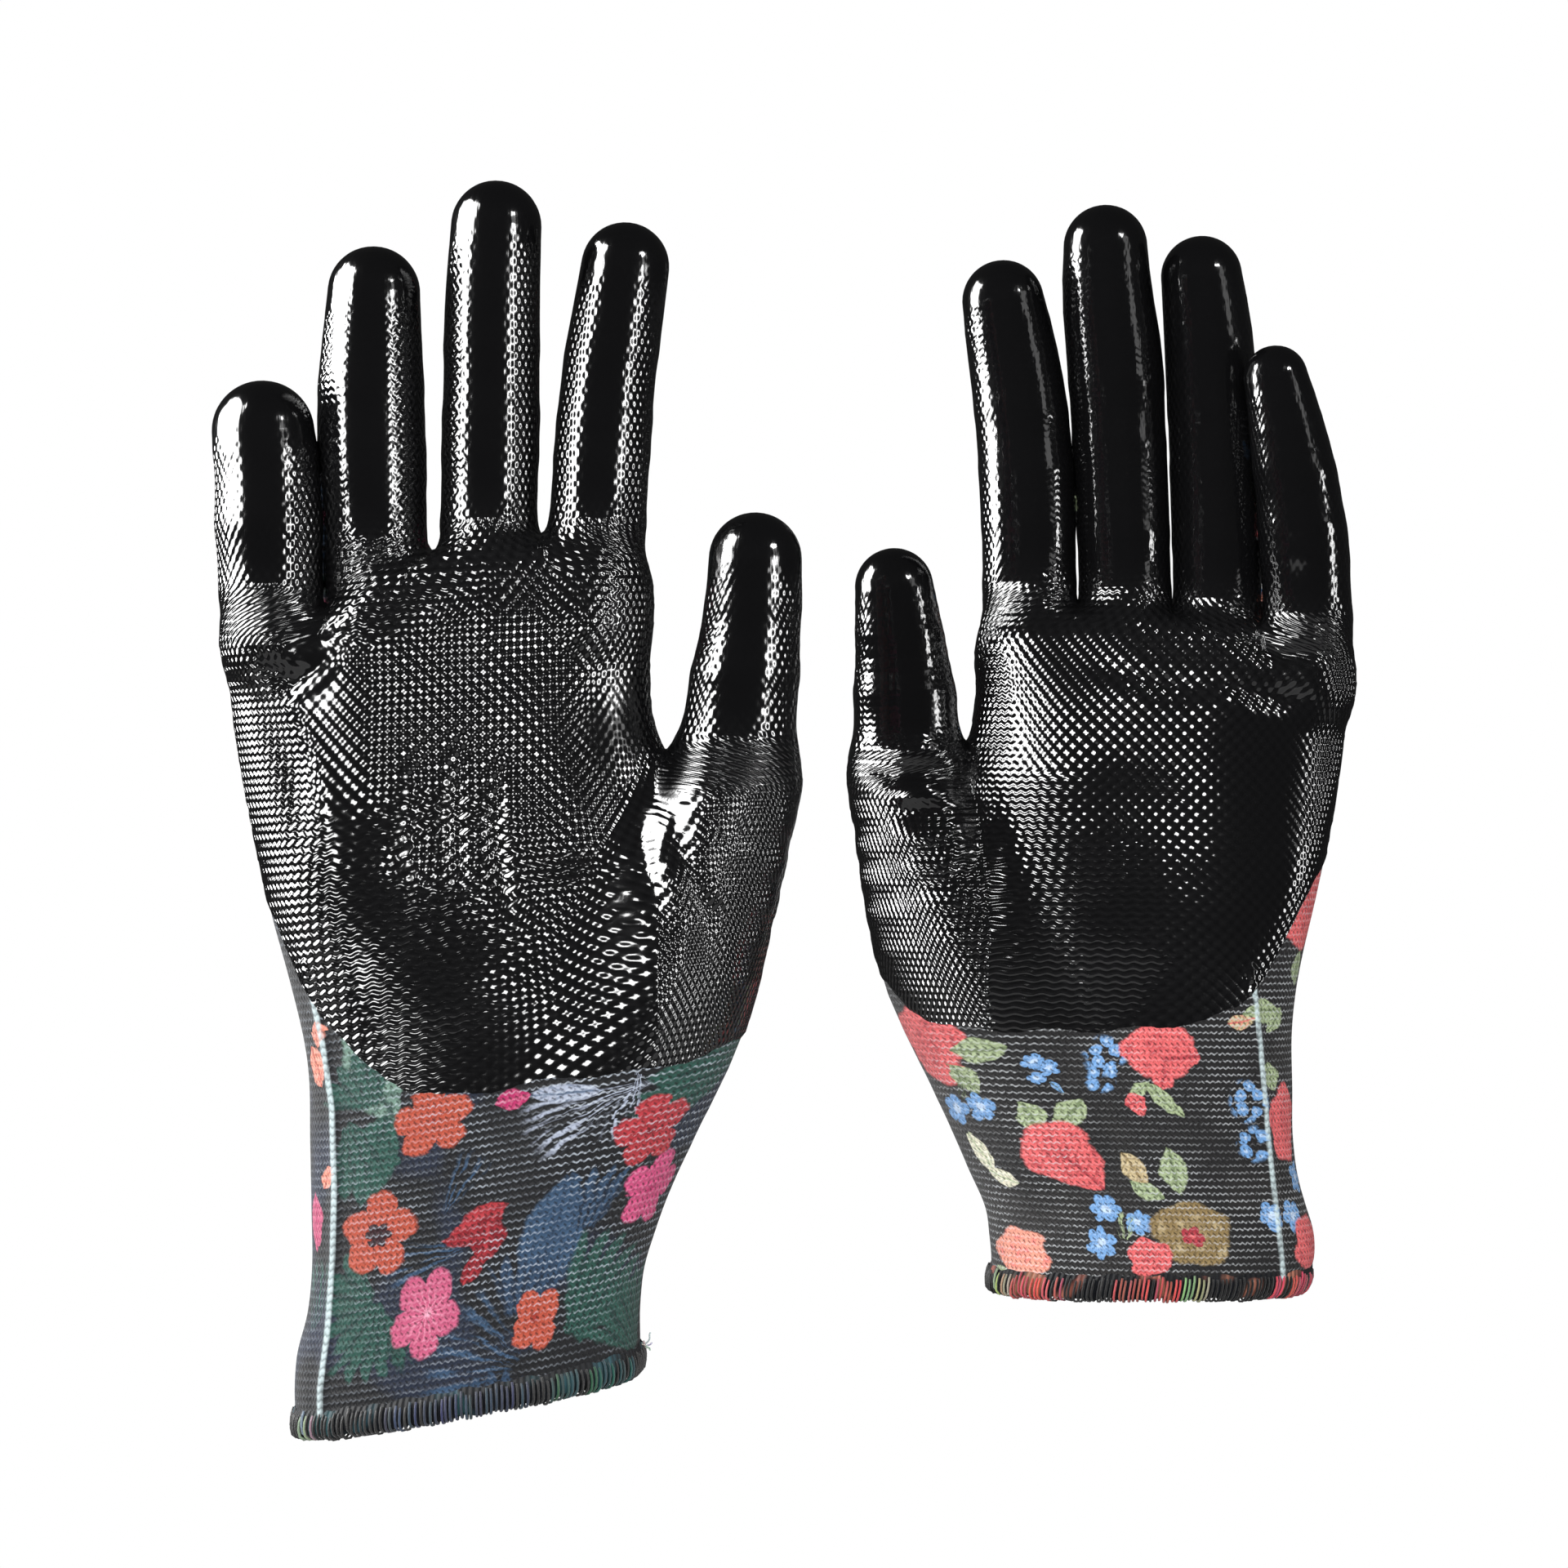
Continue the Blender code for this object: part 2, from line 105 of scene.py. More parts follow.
# palm: height, left edge, right edge, half depth, middle's depth.
# thenar and digits: height, x, y, radius. bends: where each digit's two bends start and end.
RIGHT = {
    "side": "right",
    "place": (0.0, 0.0, 0.0),
    "smooth_from": 0.55,
    "pools": (
        (-29, 138, 6, 14, 0.9), (-25, 112, 5, 18, 0.85), (-20, 86, 4, 16, 0.7),
        (27, 132, 9, 15, 0.9), (36, 112, 7, 12, 0.6), (33, 82, 10, 12, 0.35), (12, 65, 28, 11, 0.4),
    ),
    "hem_rise": 0.0,
    "hem_slope": 0.18,
    "course_slope": 0.18,
    "palm": (
        (-16, -33.0, 30.0, 20.0, 0.0), (4, -35.0, 30.5, 20.5, 0.0), (9, -34.6, 31.0, 20.3, 0.0),
        (17, -32.6, 31.0, 20.0, 0.0), (26, -31.7, 31.8, 20.0, 0.0), (36, -31.8, 33.3, 20.0, 0.0),
        (49, -32.0, 35.4, 20.0, -0.5), (65, -32.4, 36.6, 19.3, -1.0), (81, -35.5, 37.6, 18.4, -1.5),
        (96, -39.6, 37.4, 17.2, -1.5), (112, -43.3, 36.8, 16.2, -1.0),
        (123, -45.4, 35.2, 15.4, -1.0), (132, -46.6, 33.2, 14.5, -1.5),
        (143, -47.6, 32.6, 13.2, -2.0), (159, -49.2, 33.0, 11.6, -3.0),
        (180, -49.2, 33.0, 10.5, -3.0),
    ),
    "web": ((-52, 147.0), (-29, 149.5), (-9, 161.5), (13, 164.5), (36, 158.0)),
    "thenar": (
        (44, 17.2, -2.0, 16.8), (62, 27.6, -3.0, 17.5), (80, 35.5, -4.0, 17.6),
        (93, 39.8, -5.0, 16.4), (103, 44.0, -6.0, 14.6), (112, 47.5, -6.8, 12.8),
        (119, 49.4, -7.2, 11.4),
    ),
    "digits": {
        "little": {
            "line": (
                (146, -38.4, -5.5, 9.4), (158, -39.0, -7.0, 9.6), (168, -39.1, -8.5, 9.8),
                (178, -39.3, -9.6, 9.6), (185, -39.9, -10.5, 9.2),
            ),
            "bends": ((155, 166), (168.5, 181)),
        },
        "ring": {
            "line": (
                (150, -19.1, -2.0, 9.4), (168, -19.6, -3.0, 9.6), (190, -20.1, -5.0, 9.9),
                (205, -19.5, -7.6, 8.8), (211.5, -19.1, -9.0, 8.3),
            ),
            "bends": ((164.5, 177), (181, 195)),
        },
        "middle": {
            "line": (
                (150, 2.0, -2.0, 9.2), (168, 2.2, -2.8, 8.9), (190, 2.8, -4.5, 8.9),
                (212, 3.4, -8.0, 8.5), (224, 4.2, -10.0, 8.1),
            ),
            "bends": ((168, 181), (188, 202)),
        },
        "index": {
            "line": (
                (150, 21.6, -2.5, 9.7), (165, 22.8, -3.0, 9.0), (181, 23.9, -3.8, 8.8),
                (197, 25.4, -5.5, 8.6), (208, 27.2, -7.5, 8.2), (216.4, 28.6, -9.3, 7.9),
            ),
            "bends": ((168, 181), (187, 201)),
        },
        "thumb": {
            "line": (
                (119, 49.4, -7.2, 11.6), (125, 49.8, -8.0, 10.9), (139, 51.4, -10.5, 9.9),
                (153, 53.0, -13.6, 8.7), (160.6, 53.3, -15.5, 8.3),
            ),
            "bends": ((127, 138), (140, 152)),
        },
    },
    "dip": (
        (-60, 120.0), (-44, 102.0), (-38, 92.0), (-32.6, 81.0), (-27.6, 73.6), (-20.8, 66.3),
        (-11.5, 61.1), (-5.4, 59.9), (3.8, 61.1), (19, 63.7), (34, 65.0), (42, 67.0), (48.5, 69.0),
        (70, 74.0),
    ),
    "ridge": ((4.6, -28.6), (14, -27.4), (29, -26.4), (42, -26.0), (57, -26.4), (70, -28.4), (84, -31.5)),
    "mounds": (
        (0, 104, 15, 22, -3.2), (-30, 96, 9, 18, 1.2), (-19, 146, 8, 8, 1.0), (2, 150, 8, 8, 1.0),
        (22, 148, 8, 9, 1.0),
    ),
    "grooves": (
        (((38, 116), (40, 104), (44, 94), (43, 78)), 0.8, 2.1),
        (((31, 112), (34, 100), (38, 86)), 0.5, 2.1),
        (((-2, 128), (-3.5, 112), (-1.5, 94)), 0.7, 1.6),
        (((6, 124), (4, 110), (7, 92)), 0.7, 1.6),
        (((-10, 126), (-12, 110), (-8, 90)), 0.6, 1.7),
        (((-44, 146), (-34, 137), (-24, 143)), 0.8, 2.0),
        (((-40, 136), (-34, 122), (-31, 104)), 0.8, 2.6),
    ),
    "hem_bands": (
        (-33, -30, (0.25, 0.30, 0.34)),
        (-16, -4, (0.02, 0.04, 0.08)),
        (-4, 11, (0.02, 0.035, 0.07)),
        (15, 30, (0.02, 0.075, 0.06)),
    ),
    "tail": (1, 4.5, 0.6, (0.62, 0.63, 0.65)),
}

LEFT = {
    "side": "left",
    "place": (138.0, 100.0, 6.0),
    "smooth_from": -0.3,
    "pools": (
        (25, 106, 16, 28, 0.8), (27, 78, 14, 22, 0.45), (34, 134, 10, 12, 0.5),
        (-52, 112, 7, 8, 0.8), (-30, 116, 13, 30, 0.5),
    ),
    "hem_rise": 1.6,
    "hem_slope": 0.0,
    "course_slope": -0.02,
    "palm": (
        (-16, -33.0, 33.0, 20.0, 0.0), (1, -34.0, 33.6, 20.0, 0.0), (9, -33.8, 36.6, 20.3, 0.0),
        (15, -34.4, 36.4, 20.3, 0.0), (20, -34.8, 34.9, 20.0, 0.0), (26, -35.8, 33.2, 20.0, 0.0),
        (35, -38.0, 32.0, 20.0, 0.0), (46, -40.0, 31.8, 20.0, -0.5), (58, -40.6, 31.6, 19.5, -1.0),
        (69, -41.0, 32.6, 18.9, -1.0), (78, -41.0, 34.0, 18.3, -1.5), (89, -41.0, 36.4, 17.6, -1.5),
        (102, -40.4, 39.6, 16.6, -1.0), (112, -39.8, 41.5, 15.8, -1.0),
        (123, -38.2, 42.9, 15.0, -1.5), (137, -36.6, 43.8, 13.5, -2.0),
        (148, -36.6, 44.2, 12.2, -3.0), (168, -36.4, 43.6, 10.8, -3.0),
    ),
    "web": ((-40, 145.0), (-16, 149.5), (5, 148.5), (25, 145.5), (46, 138.0)),
    "thenar": (
        (38, -23.6, -2.0, 16.4), (58, -33.4, -3.0, 17.5), (76, -41.4, -4.0, 17.5),
        (89, -45.6, -5.0, 16.2), (100, -49.3, -6.0, 14.1), (108, -51.8, -6.8, 12.6),
        (114, -52.8, -7.2, 11.6),
    ),
    "digits": {
        "little": {
            "line": (
                (134, 35.2, -5.0, 9.2), (146, 34.7, -6.6, 9.3), (157, 33.9, -8.8, 9.3),
                (170, 32.4, -12.0, 9.1), (183, 29.9, -15.2, 8.2), (194, 27.4, -17.8, 7.0),
                (199.4, 26.0, -18.6, 6.4),
            ),
            "bends": ((149, 161), (167, 180)),
        },
        "ring": {
            "line": (
                (140, 15.6, -1.5, 9.4), (160, 15.4, -2.2, 9.3), (180, 14.8, -3.2, 9.4),
                (197, 14.0, -4.5, 9.4), (211, 12.8, -7.0, 9.1), (222.3, 11.2, -9.2, 8.3),
            ),
            "bends": ((152, 165), (180, 194)),
        },
        "middle": {
            "line": (
                (140, -4.4, -2.0, 9.8), (160, -4.9, -2.6, 9.7), (183, -6.0, -4.0, 9.8),
                (207, -7.6, -6.5, 9.9), (219, -9.2, -8.5, 9.3), (228.6, -9.7, -10.0, 8.6),
            ),
            "bends": ((154, 167), (186, 200)),
        },
        "index": {
            "line": (
                (140, -25.6, -2.0, 9.9), (169, -25.9, -3.0, 9.9), (183, -26.6, -4.0, 10.0),
                (199, -28.4, -5.5, 9.6), (211, -30.6, -7.5, 9.0), (217, -31.8, -9.0, 8.4),
            ),
            "bends": ((156, 169), (180, 194)),
        },
        "thumb": {
            "line": (
                (114, -52.8, -7.2, 11.5), (123, -52.8, -8.4, 11.2), (132, -53.2, -9.8, 10.7),
                (144, -54.4, -12.8, 9.2), (154.6, -55.6, -15.5, 8.0),
            ),
            "bends": ((120, 131), (133, 144)),
        },
    },
    "dip": (
        (-75, 76.0), (-57, 68.6), (-53, 64.4), (-47.6, 61.4), (-41, 59.9), (-28.7, 59.6),
        (-11, 59.6), (1, 60.3), (11.5, 61.7), (18.5, 64.8), (23.8, 70.4), (29, 79.0), (36, 92.0),
        (50, 112.0),
    ),
    "ridge": ((2, 28.6), (10, 27.7), (21, 26.6), (38, 24.8), (56, 23.1), (66, 22.0), (72, 21.2)),
    "mounds": (
        (2, 98, 15, 20, -2.8), (-22, 132, 9, 9, 1.0), (-4, 134, 8, 8, 0.8), (16, 132, 8, 8, 0.8),
        (32, 92, 8, 18, 1.2),
    ),
    "grooves": (
        (((-64, 119), (-56, 114), (-48, 115), (-40, 111)), 1.3, 2.4),
        (((-62, 111), (-54, 107), (-46, 106), (-38, 108)), 0.7, 2.6),
        (((-42, 116), (-38, 108), (-38, 98), (-42, 90)), 0.7, 2.4),
        (((18, 144), (28, 140), (40, 141)), 0.9, 1.8),
        (((10, 136), (24, 131), (38, 130)), 0.8, 2.2),
        (((-14, 138), (0, 134), (18, 132)), 0.6, 2.2),
    ),
    "hem_bands": (
        (-33, -30, (0.36, 0.44, 0.25)),
        (-30, -18, (0.62, 0.10, 0.10)),
        (-9, 6, (0.60, 0.08, 0.08)),
        (6, 13, (0.34, 0.42, 0.20)),
        (26, 40, (0.62, 0.08, 0.10)),
    ),
    "tail": (-1, 4.5, -2.6, (0.02, 0.02, 0.022)),
}


# ---------------------------------------------------------------- the skin's distance field


def smooth_rows(table, steps):
    """The table resampled on a curve through its rows, in even steps of its first column."""
    rows = np.array(table, float)
    levels = rows[:, 0]
    slopes = np.gradient(rows, levels, axis=0)
    at = np.linspace(levels[0], levels[-1], steps)
    i = np.clip(np.searchsorted(levels, at) - 1, 0, len(levels) - 2)
    span = (levels[i + 1] - levels[i])[:, None]
    t = ((at - levels[i]) / span[:, 0])[:, None]
    start = (1 + 2 * t) * (1 - t) ** 2 * rows[i] + t * (1 - t) ** 2 * span * slopes[i]
    end = t * t * (3 - 2 * t) * rows[i + 1] - t * t * (1 - t) * span * slopes[i + 1]
    smooth = start + end
    smooth[:, 0] = at
    return smooth


def join(a, b, width):
    """The union of two distances, with a fillet."""
    share = np.clip(0.5 + 0.5 * (b - a) / width, 0, 1)
    return b + (a - b) * share - width * share * (1 - share)


def chain_distance(points, rows):
    """Distance to a row of round cones: rows are height, x, y, radius."""
    nearest = np.full(len(points), 99.0)
    centres = rows[:, [1, 2, 0]]
    for i in range(len(rows) - 1):
        span = centres[i + 1] - centres[i]
        share = np.clip((points - centres[i]) @ span / (span @ span), 0, 1)
        reach = np.linalg.norm(points - centres[i] - share[:, None] * span, axis=1)
        radius = rows[i, 3] + share * (rows[i + 1, 3] - rows[i, 3])
        nearest = np.minimum(nearest, reach - radius)
    return nearest


def groove_depth(points, line, depth, width):
    """How deep a crease along a line of (x, height) sinks: deepest midway, with a soft lip each side."""
    at = points[:, [0, 2]]
    line = np.array(line, float)
    steps = np.linalg.norm(np.diff(line, axis=0), axis=1)
    marks = np.concatenate([[0], np.cumsum(steps)]) / steps.sum()
    nearest = np.full(len(points), 99.0)
    along = np.zeros(len(points))
    for i, (a, b) in enumerate(zip(line[:-1], line[1:])):
        share = np.clip((at - a) @ (b - a) / ((b - a) @ (b - a)), 0, 1)
        reach = np.linalg.norm(at - a - share[:, None] * (b - a), axis=1)
        along = np.where(reach < nearest, marks[i] + share * (marks[i + 1] - marks[i]), along)
        nearest = np.minimum(nearest, reach)
    reach = nearest / width
    lips = np.exp(-(reach**2)) - 0.35 * np.exp(-((reach - 2) ** 2))
    return depth * lips * 4 * along * (1 - along)


class Skin:
    """One glove's outer surface as a distance field, in the glove's own millimetres."""

    def __init__(self, glove):
        self.glove = glove
        self.palm = smooth_rows(glove["palm"], 120)
        self.thenar = smooth_rows(glove["thenar"], 12)
        self.digits = {
            name: smooth_rows(digit["line"], 14) for name, digit in glove["digits"].items()
        }
        self.tops = {name: rows[-1, 0] + rows[-1, 3] for name, rows in self.digits.items()}

    def section(self, height):
        """The palm's left edge, right edge, half depth and middle's depth at these heights."""
        return [np.interp(height, self.palm[:, 0], self.palm[:, i]) for i in range(1, 5)]

    def palm_distance(self, points):
        x, y, z = points.T
        left, right, deep, middle = self.section(z)
        wide = (right - left) / 2
        across = np.abs(x - (left + right) / 2) / wide
        inward = np.abs(y - middle) / deep
        norm = (across**SQUARENESS + inward**SQUARENESS) ** (1 / SQUARENESS) + 1e-9
        slope = np.hypot(
            (across / norm) ** (SQUARENESS - 1) / wide, (inward / norm) ** (SQUARENESS - 1) / deep
        )
        side = (norm - 1) / np.maximum(slope, 0.02)
        web = np.array(self.glove["web"], float)
        over = z - np.interp(x, web[:, 0], web[:, 1])
        return -join(-side, -over, 6.0)

    def detail(self, points):
        """What stands out of the plain form, or sinks into it, on the palm side."""
        x, y, z = points.T
        front = np.clip((2 - y) / 6, 0, 1)
        lift = np.zeros(len(points))
        for mx, mz, wide, tall, height in self.glove["mounds"]:
            lift += height * np.exp(-(((x - mx) / wide) ** 2) - ((z - mz) / tall) ** 2)
        for line, depth, width in self.glove["grooves"]:
            lift -= groove_depth(points, line, depth, width)
        lift += 0.8 * np.exp(-((self.off_ridge(points) / 1.0) ** 2))
        return lift * front

    def off_ridge(self, points):
        """Distance across the pressed fold that runs up the cuff."""
        line = np.array(self.glove["ridge"], float)
        off = points[:, 0] - np.interp(points[:, 2], line[:, 0], line[:, 1])
        beyond = np.clip(points[:, 2] - line[-1, 0], 0, None)
        return np.hypot(off, beyond)

    def folds(self, points, name):
        """Creases across a digit's palm side at its bends, and slack rings round its base."""
        z = points[:, 2]
        front = np.clip(0.5 - points[:, 1] / 20, 0, 1)
        total = np.zeros(len(points))
        for start, end in self.glove["digits"][name]["bends"]:
            middle = (start + end) / 2
            total -= 0.35 * front * np.exp(-(((z - middle) / 2.2) ** 2))
            total += 0.12 * np.cos((z - middle) * 0.9) * np.exp(-(((z - middle) / 7) ** 2))
        return total

    def __call__(self, points):
        body = self.palm_distance(points)
        near = self.near(points, self.thenar, 14)
        body[near] = join(body[near], chain_distance(points[near], self.thenar), 9.0)
        result = body.copy()
        for name, rows in self.digits.items():
            near = self.near(points, rows, 8)
            digit = chain_distance(points[near], rows) - self.folds(points[near], name)
            fillet = THUMB_FILLET if name == "thumb" else FILLET
            result[near] = np.minimum(result[near], join(body[near], digit, fillet))
        return result - self.detail(points)

    def near(self, points, rows, margin):
        """Which points are near enough to a chain to matter."""
        reach = rows[:, 3].max() + margin
        low = rows[:, [1, 2, 0]].min(0) - reach
        high = rows[:, [1, 2, 0]].max(0) + reach
        return np.flatnonzero(np.all((points > low) & (points < high), axis=1))

    def gradient(self, points):
        step = 0.25
        parts = []
        for axis in np.eye(3) * step:
            parts.append((self(points + axis) - self(points - axis)) / (2 * step))
        return np.stack(parts, axis=1)


# ---------------------------------------------------------------- from the field to a mesh


def surface_net(field, low, step):
    """Vertices and quads of the surface where the field is zero."""
    inside = field < 0
    cells = np.array(field.shape) - 1
    total = np.zeros((*cells, 3))
    count = np.zeros(cells)
    for axis in range(3):
        others = [i for i in range(3) if i != axis]
        for shift in ((0, 0), (0, 1), (1, 0), (1, 1)):
            near = [slice(0, n) for n in cells]
            for other, moved in zip(others, shift):
                near[other] = slice(moved, cells[other] + moved)
            far = list(near)
            far[axis] = slice(1, cells[axis] + 1)
            a, b = field[tuple(near)], field[tuple(far)]
            cut = (a < 0) != (b < 0)
            share = np.where(cut, a / np.where(cut, a - b, 1), 0)
            total[..., axis] += np.where(cut, share, 0)
            for other, moved in zip(others, shift):
                total[..., other] += np.where(cut, moved, 0)
            count += cut
    used = count > 0
    index = np.full(cells, -1)
    index[used] = np.arange(used.sum())
    vertices = (np.argwhere(used) + total[used] / count[used][:, None]) * step + low
    quads = []
    for axis in range(3):
        b, c = [i for i in range(3) if i != axis]
        here = [slice(1, n) for n in cells]
        here[axis] = slice(0, cells[axis])
        after = list(here)
        after[axis] = slice(1, cells[axis] + 1)
        first, second = inside[tuple(here)], inside[tuple(after)]
        for crossing, turned in ((first & ~second, False), (~first & second, True)):
            spots = np.argwhere(crossing)
            spots += np.array([0 if i == axis else 1 for i in range(3)])
            ring = []
            for db, dc in ((0, 0), (1, 0), (1, 1), (0, 1)):
                cell = spots.copy()
                cell[:, b] -= db
                cell[:, c] -= dc
                ring.append(index[tuple(cell.T)])
            ring = np.stack(ring, axis=1)
            quads.append(ring[:, ::-1] if turned != (axis == 1) else ring)
    return vertices, np.concatenate(quads)


def relax(points, quads, skin, rounds):
    """Evens the quads out and puts every vertex back on the surface."""
    ends = np.concatenate([quads[:, [0, 1]], quads[:, [1, 2]], quads[:, [2, 3]], quads[:, [3, 0]]])
    ends = np.concatenate([ends, ends[:, ::-1]])
    valence = np.bincount(ends[:, 0], minlength=len(points))[:, None]
    for _ in range(rounds):
        around = np.stack(
            [np.bincount(ends[:, 0], points[ends[:, 1], i], len(points)) for i in range(3)], axis=1
        )
        points = points + 0.6 * (around / valence - points)
        slope = skin.gradient(points)
        steep = np.maximum((slope**2).sum(1), 0.1)
        points = points - slope * (skin(points) / steep)[:, None]
    slope = skin.gradient(points)
    normals = slope / np.linalg.norm(slope, axis=1)[:, None]
    return points, normals


def skin_mesh(skin):
    low = np.array([skin.palm[:, 1].min() - 8, -32, -9])
    high = np.array([skin.palm[:, 2].max() + 8, 25, max(skin.tops.values()) + 4])
    thumb = skin.digits["thumb"][:, 1]
    low[0] = min(low[0], thumb.min() - 17)
    high[0] = max(high[0], thumb.max() + 17)
    shape = np.ceil((high - low) / GRID).astype(int) + 1
    axes = [low[i] + GRID * np.arange(shape[i]) for i in range(3)]
    grid = np.stack(np.meshgrid(*axes, indexing="ij"), axis=-1).reshape(-1, 3)
    points, quads = surface_net(skin(grid).reshape(shape), low, GRID)
    points, normals = relax(points, quads, skin, 3)
    return points, quads, normals


# ---------------------------------------------------------------- where each point lies


def arc_table(skin):
    """Share of the way round the palm's section, by height and by angle from the front."""
    levels = np.arange(-16, 181, 7.0)
    angles = np.linspace(-math.pi, math.pi, 181)
    left, right, deep, _ = skin.section(levels)
    across, inward = np.sin(angles), np.cos(angles)
    radius = (np.abs(across) ** SQUARENESS + np.abs(inward) ** SQUARENESS) ** (-1 / SQUARENESS)
    x = radius * across * ((right - left) / 2)[:, None]
    y = radius * inward * deep[:, None]
    steps = np.hypot(np.diff(x), np.diff(y))
    lengths = np.concatenate([np.zeros((len(levels), 1)), np.cumsum(steps, axis=1)], axis=1)
    return levels, angles, lengths / lengths[:, -1:] - 0.5


def share_round(table, heights, angles):
    levels, columns, shares = table
    row = np.clip((heights - levels[0]) / (levels[1] - levels[0]), 0, len(levels) - 1.001)
    column = np.clip((angles - columns[0]) / (columns[1] - columns[0]), 0, len(columns) - 1.001)
    i, j = row.astype(int), column.astype(int)
    s, t = row - i, column - j
    low = shares[i, j] * (1 - t) + shares[i, j + 1] * t
    high = shares[i + 1, j] * (1 - t) + shares[i + 1, j + 1] * t
    return low * (1 - s) + high * s


def ramp(value, start, end):
    t = np.clip((value - start) / (end - start), 0, 1)
    return t * t * (3 - 2 * t)


class Chart:
    """Where each vertex lies on the knit: round, along, which digit, and how the coat covers it."""

    def __init__(self, skin, points, normals):
        glove = skin.glove
        x, y, z = points.T
        left, right, deep, middle = skin.section(z)
        wide = (right - left) / 2
        angle = np.arctan2((x - (left + right) / 2) / wide, -(y - middle) / deep)
        self.round = AROUND * share_round(arc_table(skin), z, angle)
        self.period = np.full(len(points), AROUND)
        self.weave = x + np.clip(x / 35, -1, 1) * y
        self.along = z - glove["course_slope"] * x * (1 - 0.7 * ramp(z, 60, 120))
        self.digit = np.full(len(points), "", dtype=object)
        self.on_digit = np.zeros(len(points))
        reach = np.full(len(points), 4.0)
        for name, rows in skin.digits.items():
            base = glove["digits"][name]["bends"][0][0]
            distance = chain_distance(points, rows)
            mine = (distance < reach) & (z > base - 14)
            reach = np.where(mine, distance, reach)
            cx, cy = (np.interp(z, rows[:, 0], rows[:, i]) for i in (1, 2))
            turn = np.arctan2(x - cx, -(y - cy))
            centre = AROUND * share_round(
                arc_table(skin), z, np.arctan2((cx - (left + right) / 2) / wide, np.ones_like(z))
            )
            wound = centre + turn * REPEAT / (2 * math.pi)
            share = np.where(np.abs(turn) < 1.8, ramp(z, base - 11, base + 1), z > base - 2)
            self.round = np.where(mine, self.round + share * (wound - self.round), self.round)
            straight = cx + turn * REPEAT / (2 * math.pi)
            self.weave = np.where(mine, self.weave + share * (straight - self.weave), self.weave)
            self.period = np.where(mine & (z > base - 2), REPEAT, self.period)
            self.digit[mine] = name
            share = ramp(z, base - 5, base + 6) * (1 - ramp(distance, 1.0, 4.0))
            self.on_digit = np.where(mine, share, self.on_digit)
        self.pooled = self.pool_depth(skin, points, normals)
        self.coat = self.coat_depth(skin, points, normals)
        self.ridge = np.where(y < middle, skin.off_ridge(points), 9.0)
        self.plain = np.zeros(len(points))
        for name in skin.digits:
            base = glove["digits"][name]["bends"][0][0]
            band = (self.digit == name) & (y > 0)
            self.plain = np.where(band, np.exp(-(((z - base + 2) / 3.0) ** 2)), self.plain)

    def pool_depth(self, skin, points, normals):
        """Where the nitrile pooled, from 0 to 1: it hides the stitches under it."""
        x, _, z = points.T
        pooled = self.on_digit * ramp(-normals[:, 1], skin.glove["smooth_from"], 1.0)
        for name, top in skin.tops.items():
            pooled = np.where(self.digit == name, np.maximum(pooled, ramp(z, top - 17, top - 9)), pooled)
        for px, pz, wide, tall, depth in skin.glove["pools"]:
            patch = depth * np.exp(-(((x - px) / wide) ** 2) - ((z - pz) / tall) ** 2)
            pooled = pooled + (1 - pooled) * patch
        return pooled

    def coat_depth(self, skin, points, normals):
        """How far inside the coat's edge a vertex lies, about in millimetres."""
        x, _, z = points.T
        dip = np.array(skin.glove["dip"], float)
        wave = 0.12 * np.sin(x * 1.9) + 0.5 * np.sin(x * 0.35)
        above = (z - np.interp(x, dip[:, 0], dip[:, 1]) + wave) * 0.8
        thumb_side = np.sign(skin.digits["thumb"][0, 1])
        outer = np.where(x * thumb_side < 0, -0.16, 0.05)
        wrap = outer + (0.45 - outer) * self.on_digit
        for name, top in skin.tops.items():
            wrap = np.where(self.digit == name, wrap + 1.3 * ramp(z, top - 15, top - 5), wrap)
        edge = (wrap - normals[:, 1]) * 9.0
        return np.minimum(above, edge + 0.3 * np.sin(z * 1.7) + 0.3 * np.sin(z * 0.6))


def piece_of(glove, chart, points, quads):
    """For each quad, its piece: "palm", or a digit's "base" or "tip"."""
    labels = np.full(len(quads), "palm", dtype=object)
    for name, digit in glove["digits"].items():
        (base_start, base_end), (tip_start, _) = digit["bends"]
        for part, level in (("base", base_start), ("tip", (base_end + tip_start) / 2)):
            above = (points[:, 2] > level)[quads].all(1)
            labels[above & (chart.digit == name)[quads].any(1)] = f"{name}_{part}"
    return labels


def cell_of(chart, quads):
    """Which of its print's materials each quad takes: 0 on the back, then one for each front cell."""
    u, v = chart.round[quads[:, 0]], chart.along[quads[:, 0]]
    index = np.zeros(len(quads), int)
    for i, (low_u, high_u, low_v, high_v) in enumerate(FRONT_CELLS):
        index[(u >= low_u) & (u < high_u) & (v >= low_v) & (v < high_v)] = i + 1
    return index


# ---------------------------------------------------------------- objects


def rides(obj, nodes, body):
    """Stands an object in for its CAD nodes, fixed to one body."""
    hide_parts(*nodes)
    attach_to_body(obj, body)


def mesh_object(name, vertices, faces, material, normals=None):
    """An object from vertices in metres, smooth, with the given vertex normals."""
    mesh = bpy.data.meshes.new(name)
    mesh.from_pydata(vertices.tolist(), [], faces.tolist() if hasattr(faces, "tolist") else faces)
    for item in material if isinstance(material, list) else [material]:
        mesh.materials.append(item)
    mesh.shade_smooth()
    if normals is not None:
        mesh.normals_split_custom_set_from_vertices(normals.tolist())
    made = bpy.data.objects.new(name, mesh)
    bpy.context.scene.collection.objects.link(made)
    return made


def unwrapped(across, period):
    """A coordinate that goes round, kept in step inside each quad that crosses its seam."""
    wraps = across.max(1) - across.min(1) > period.min(1) / 2
    shifted = np.where(across < across.max(1)[:, None] - period / 2, across + period, across)
    return np.where(wraps[:, None], shifted, across)


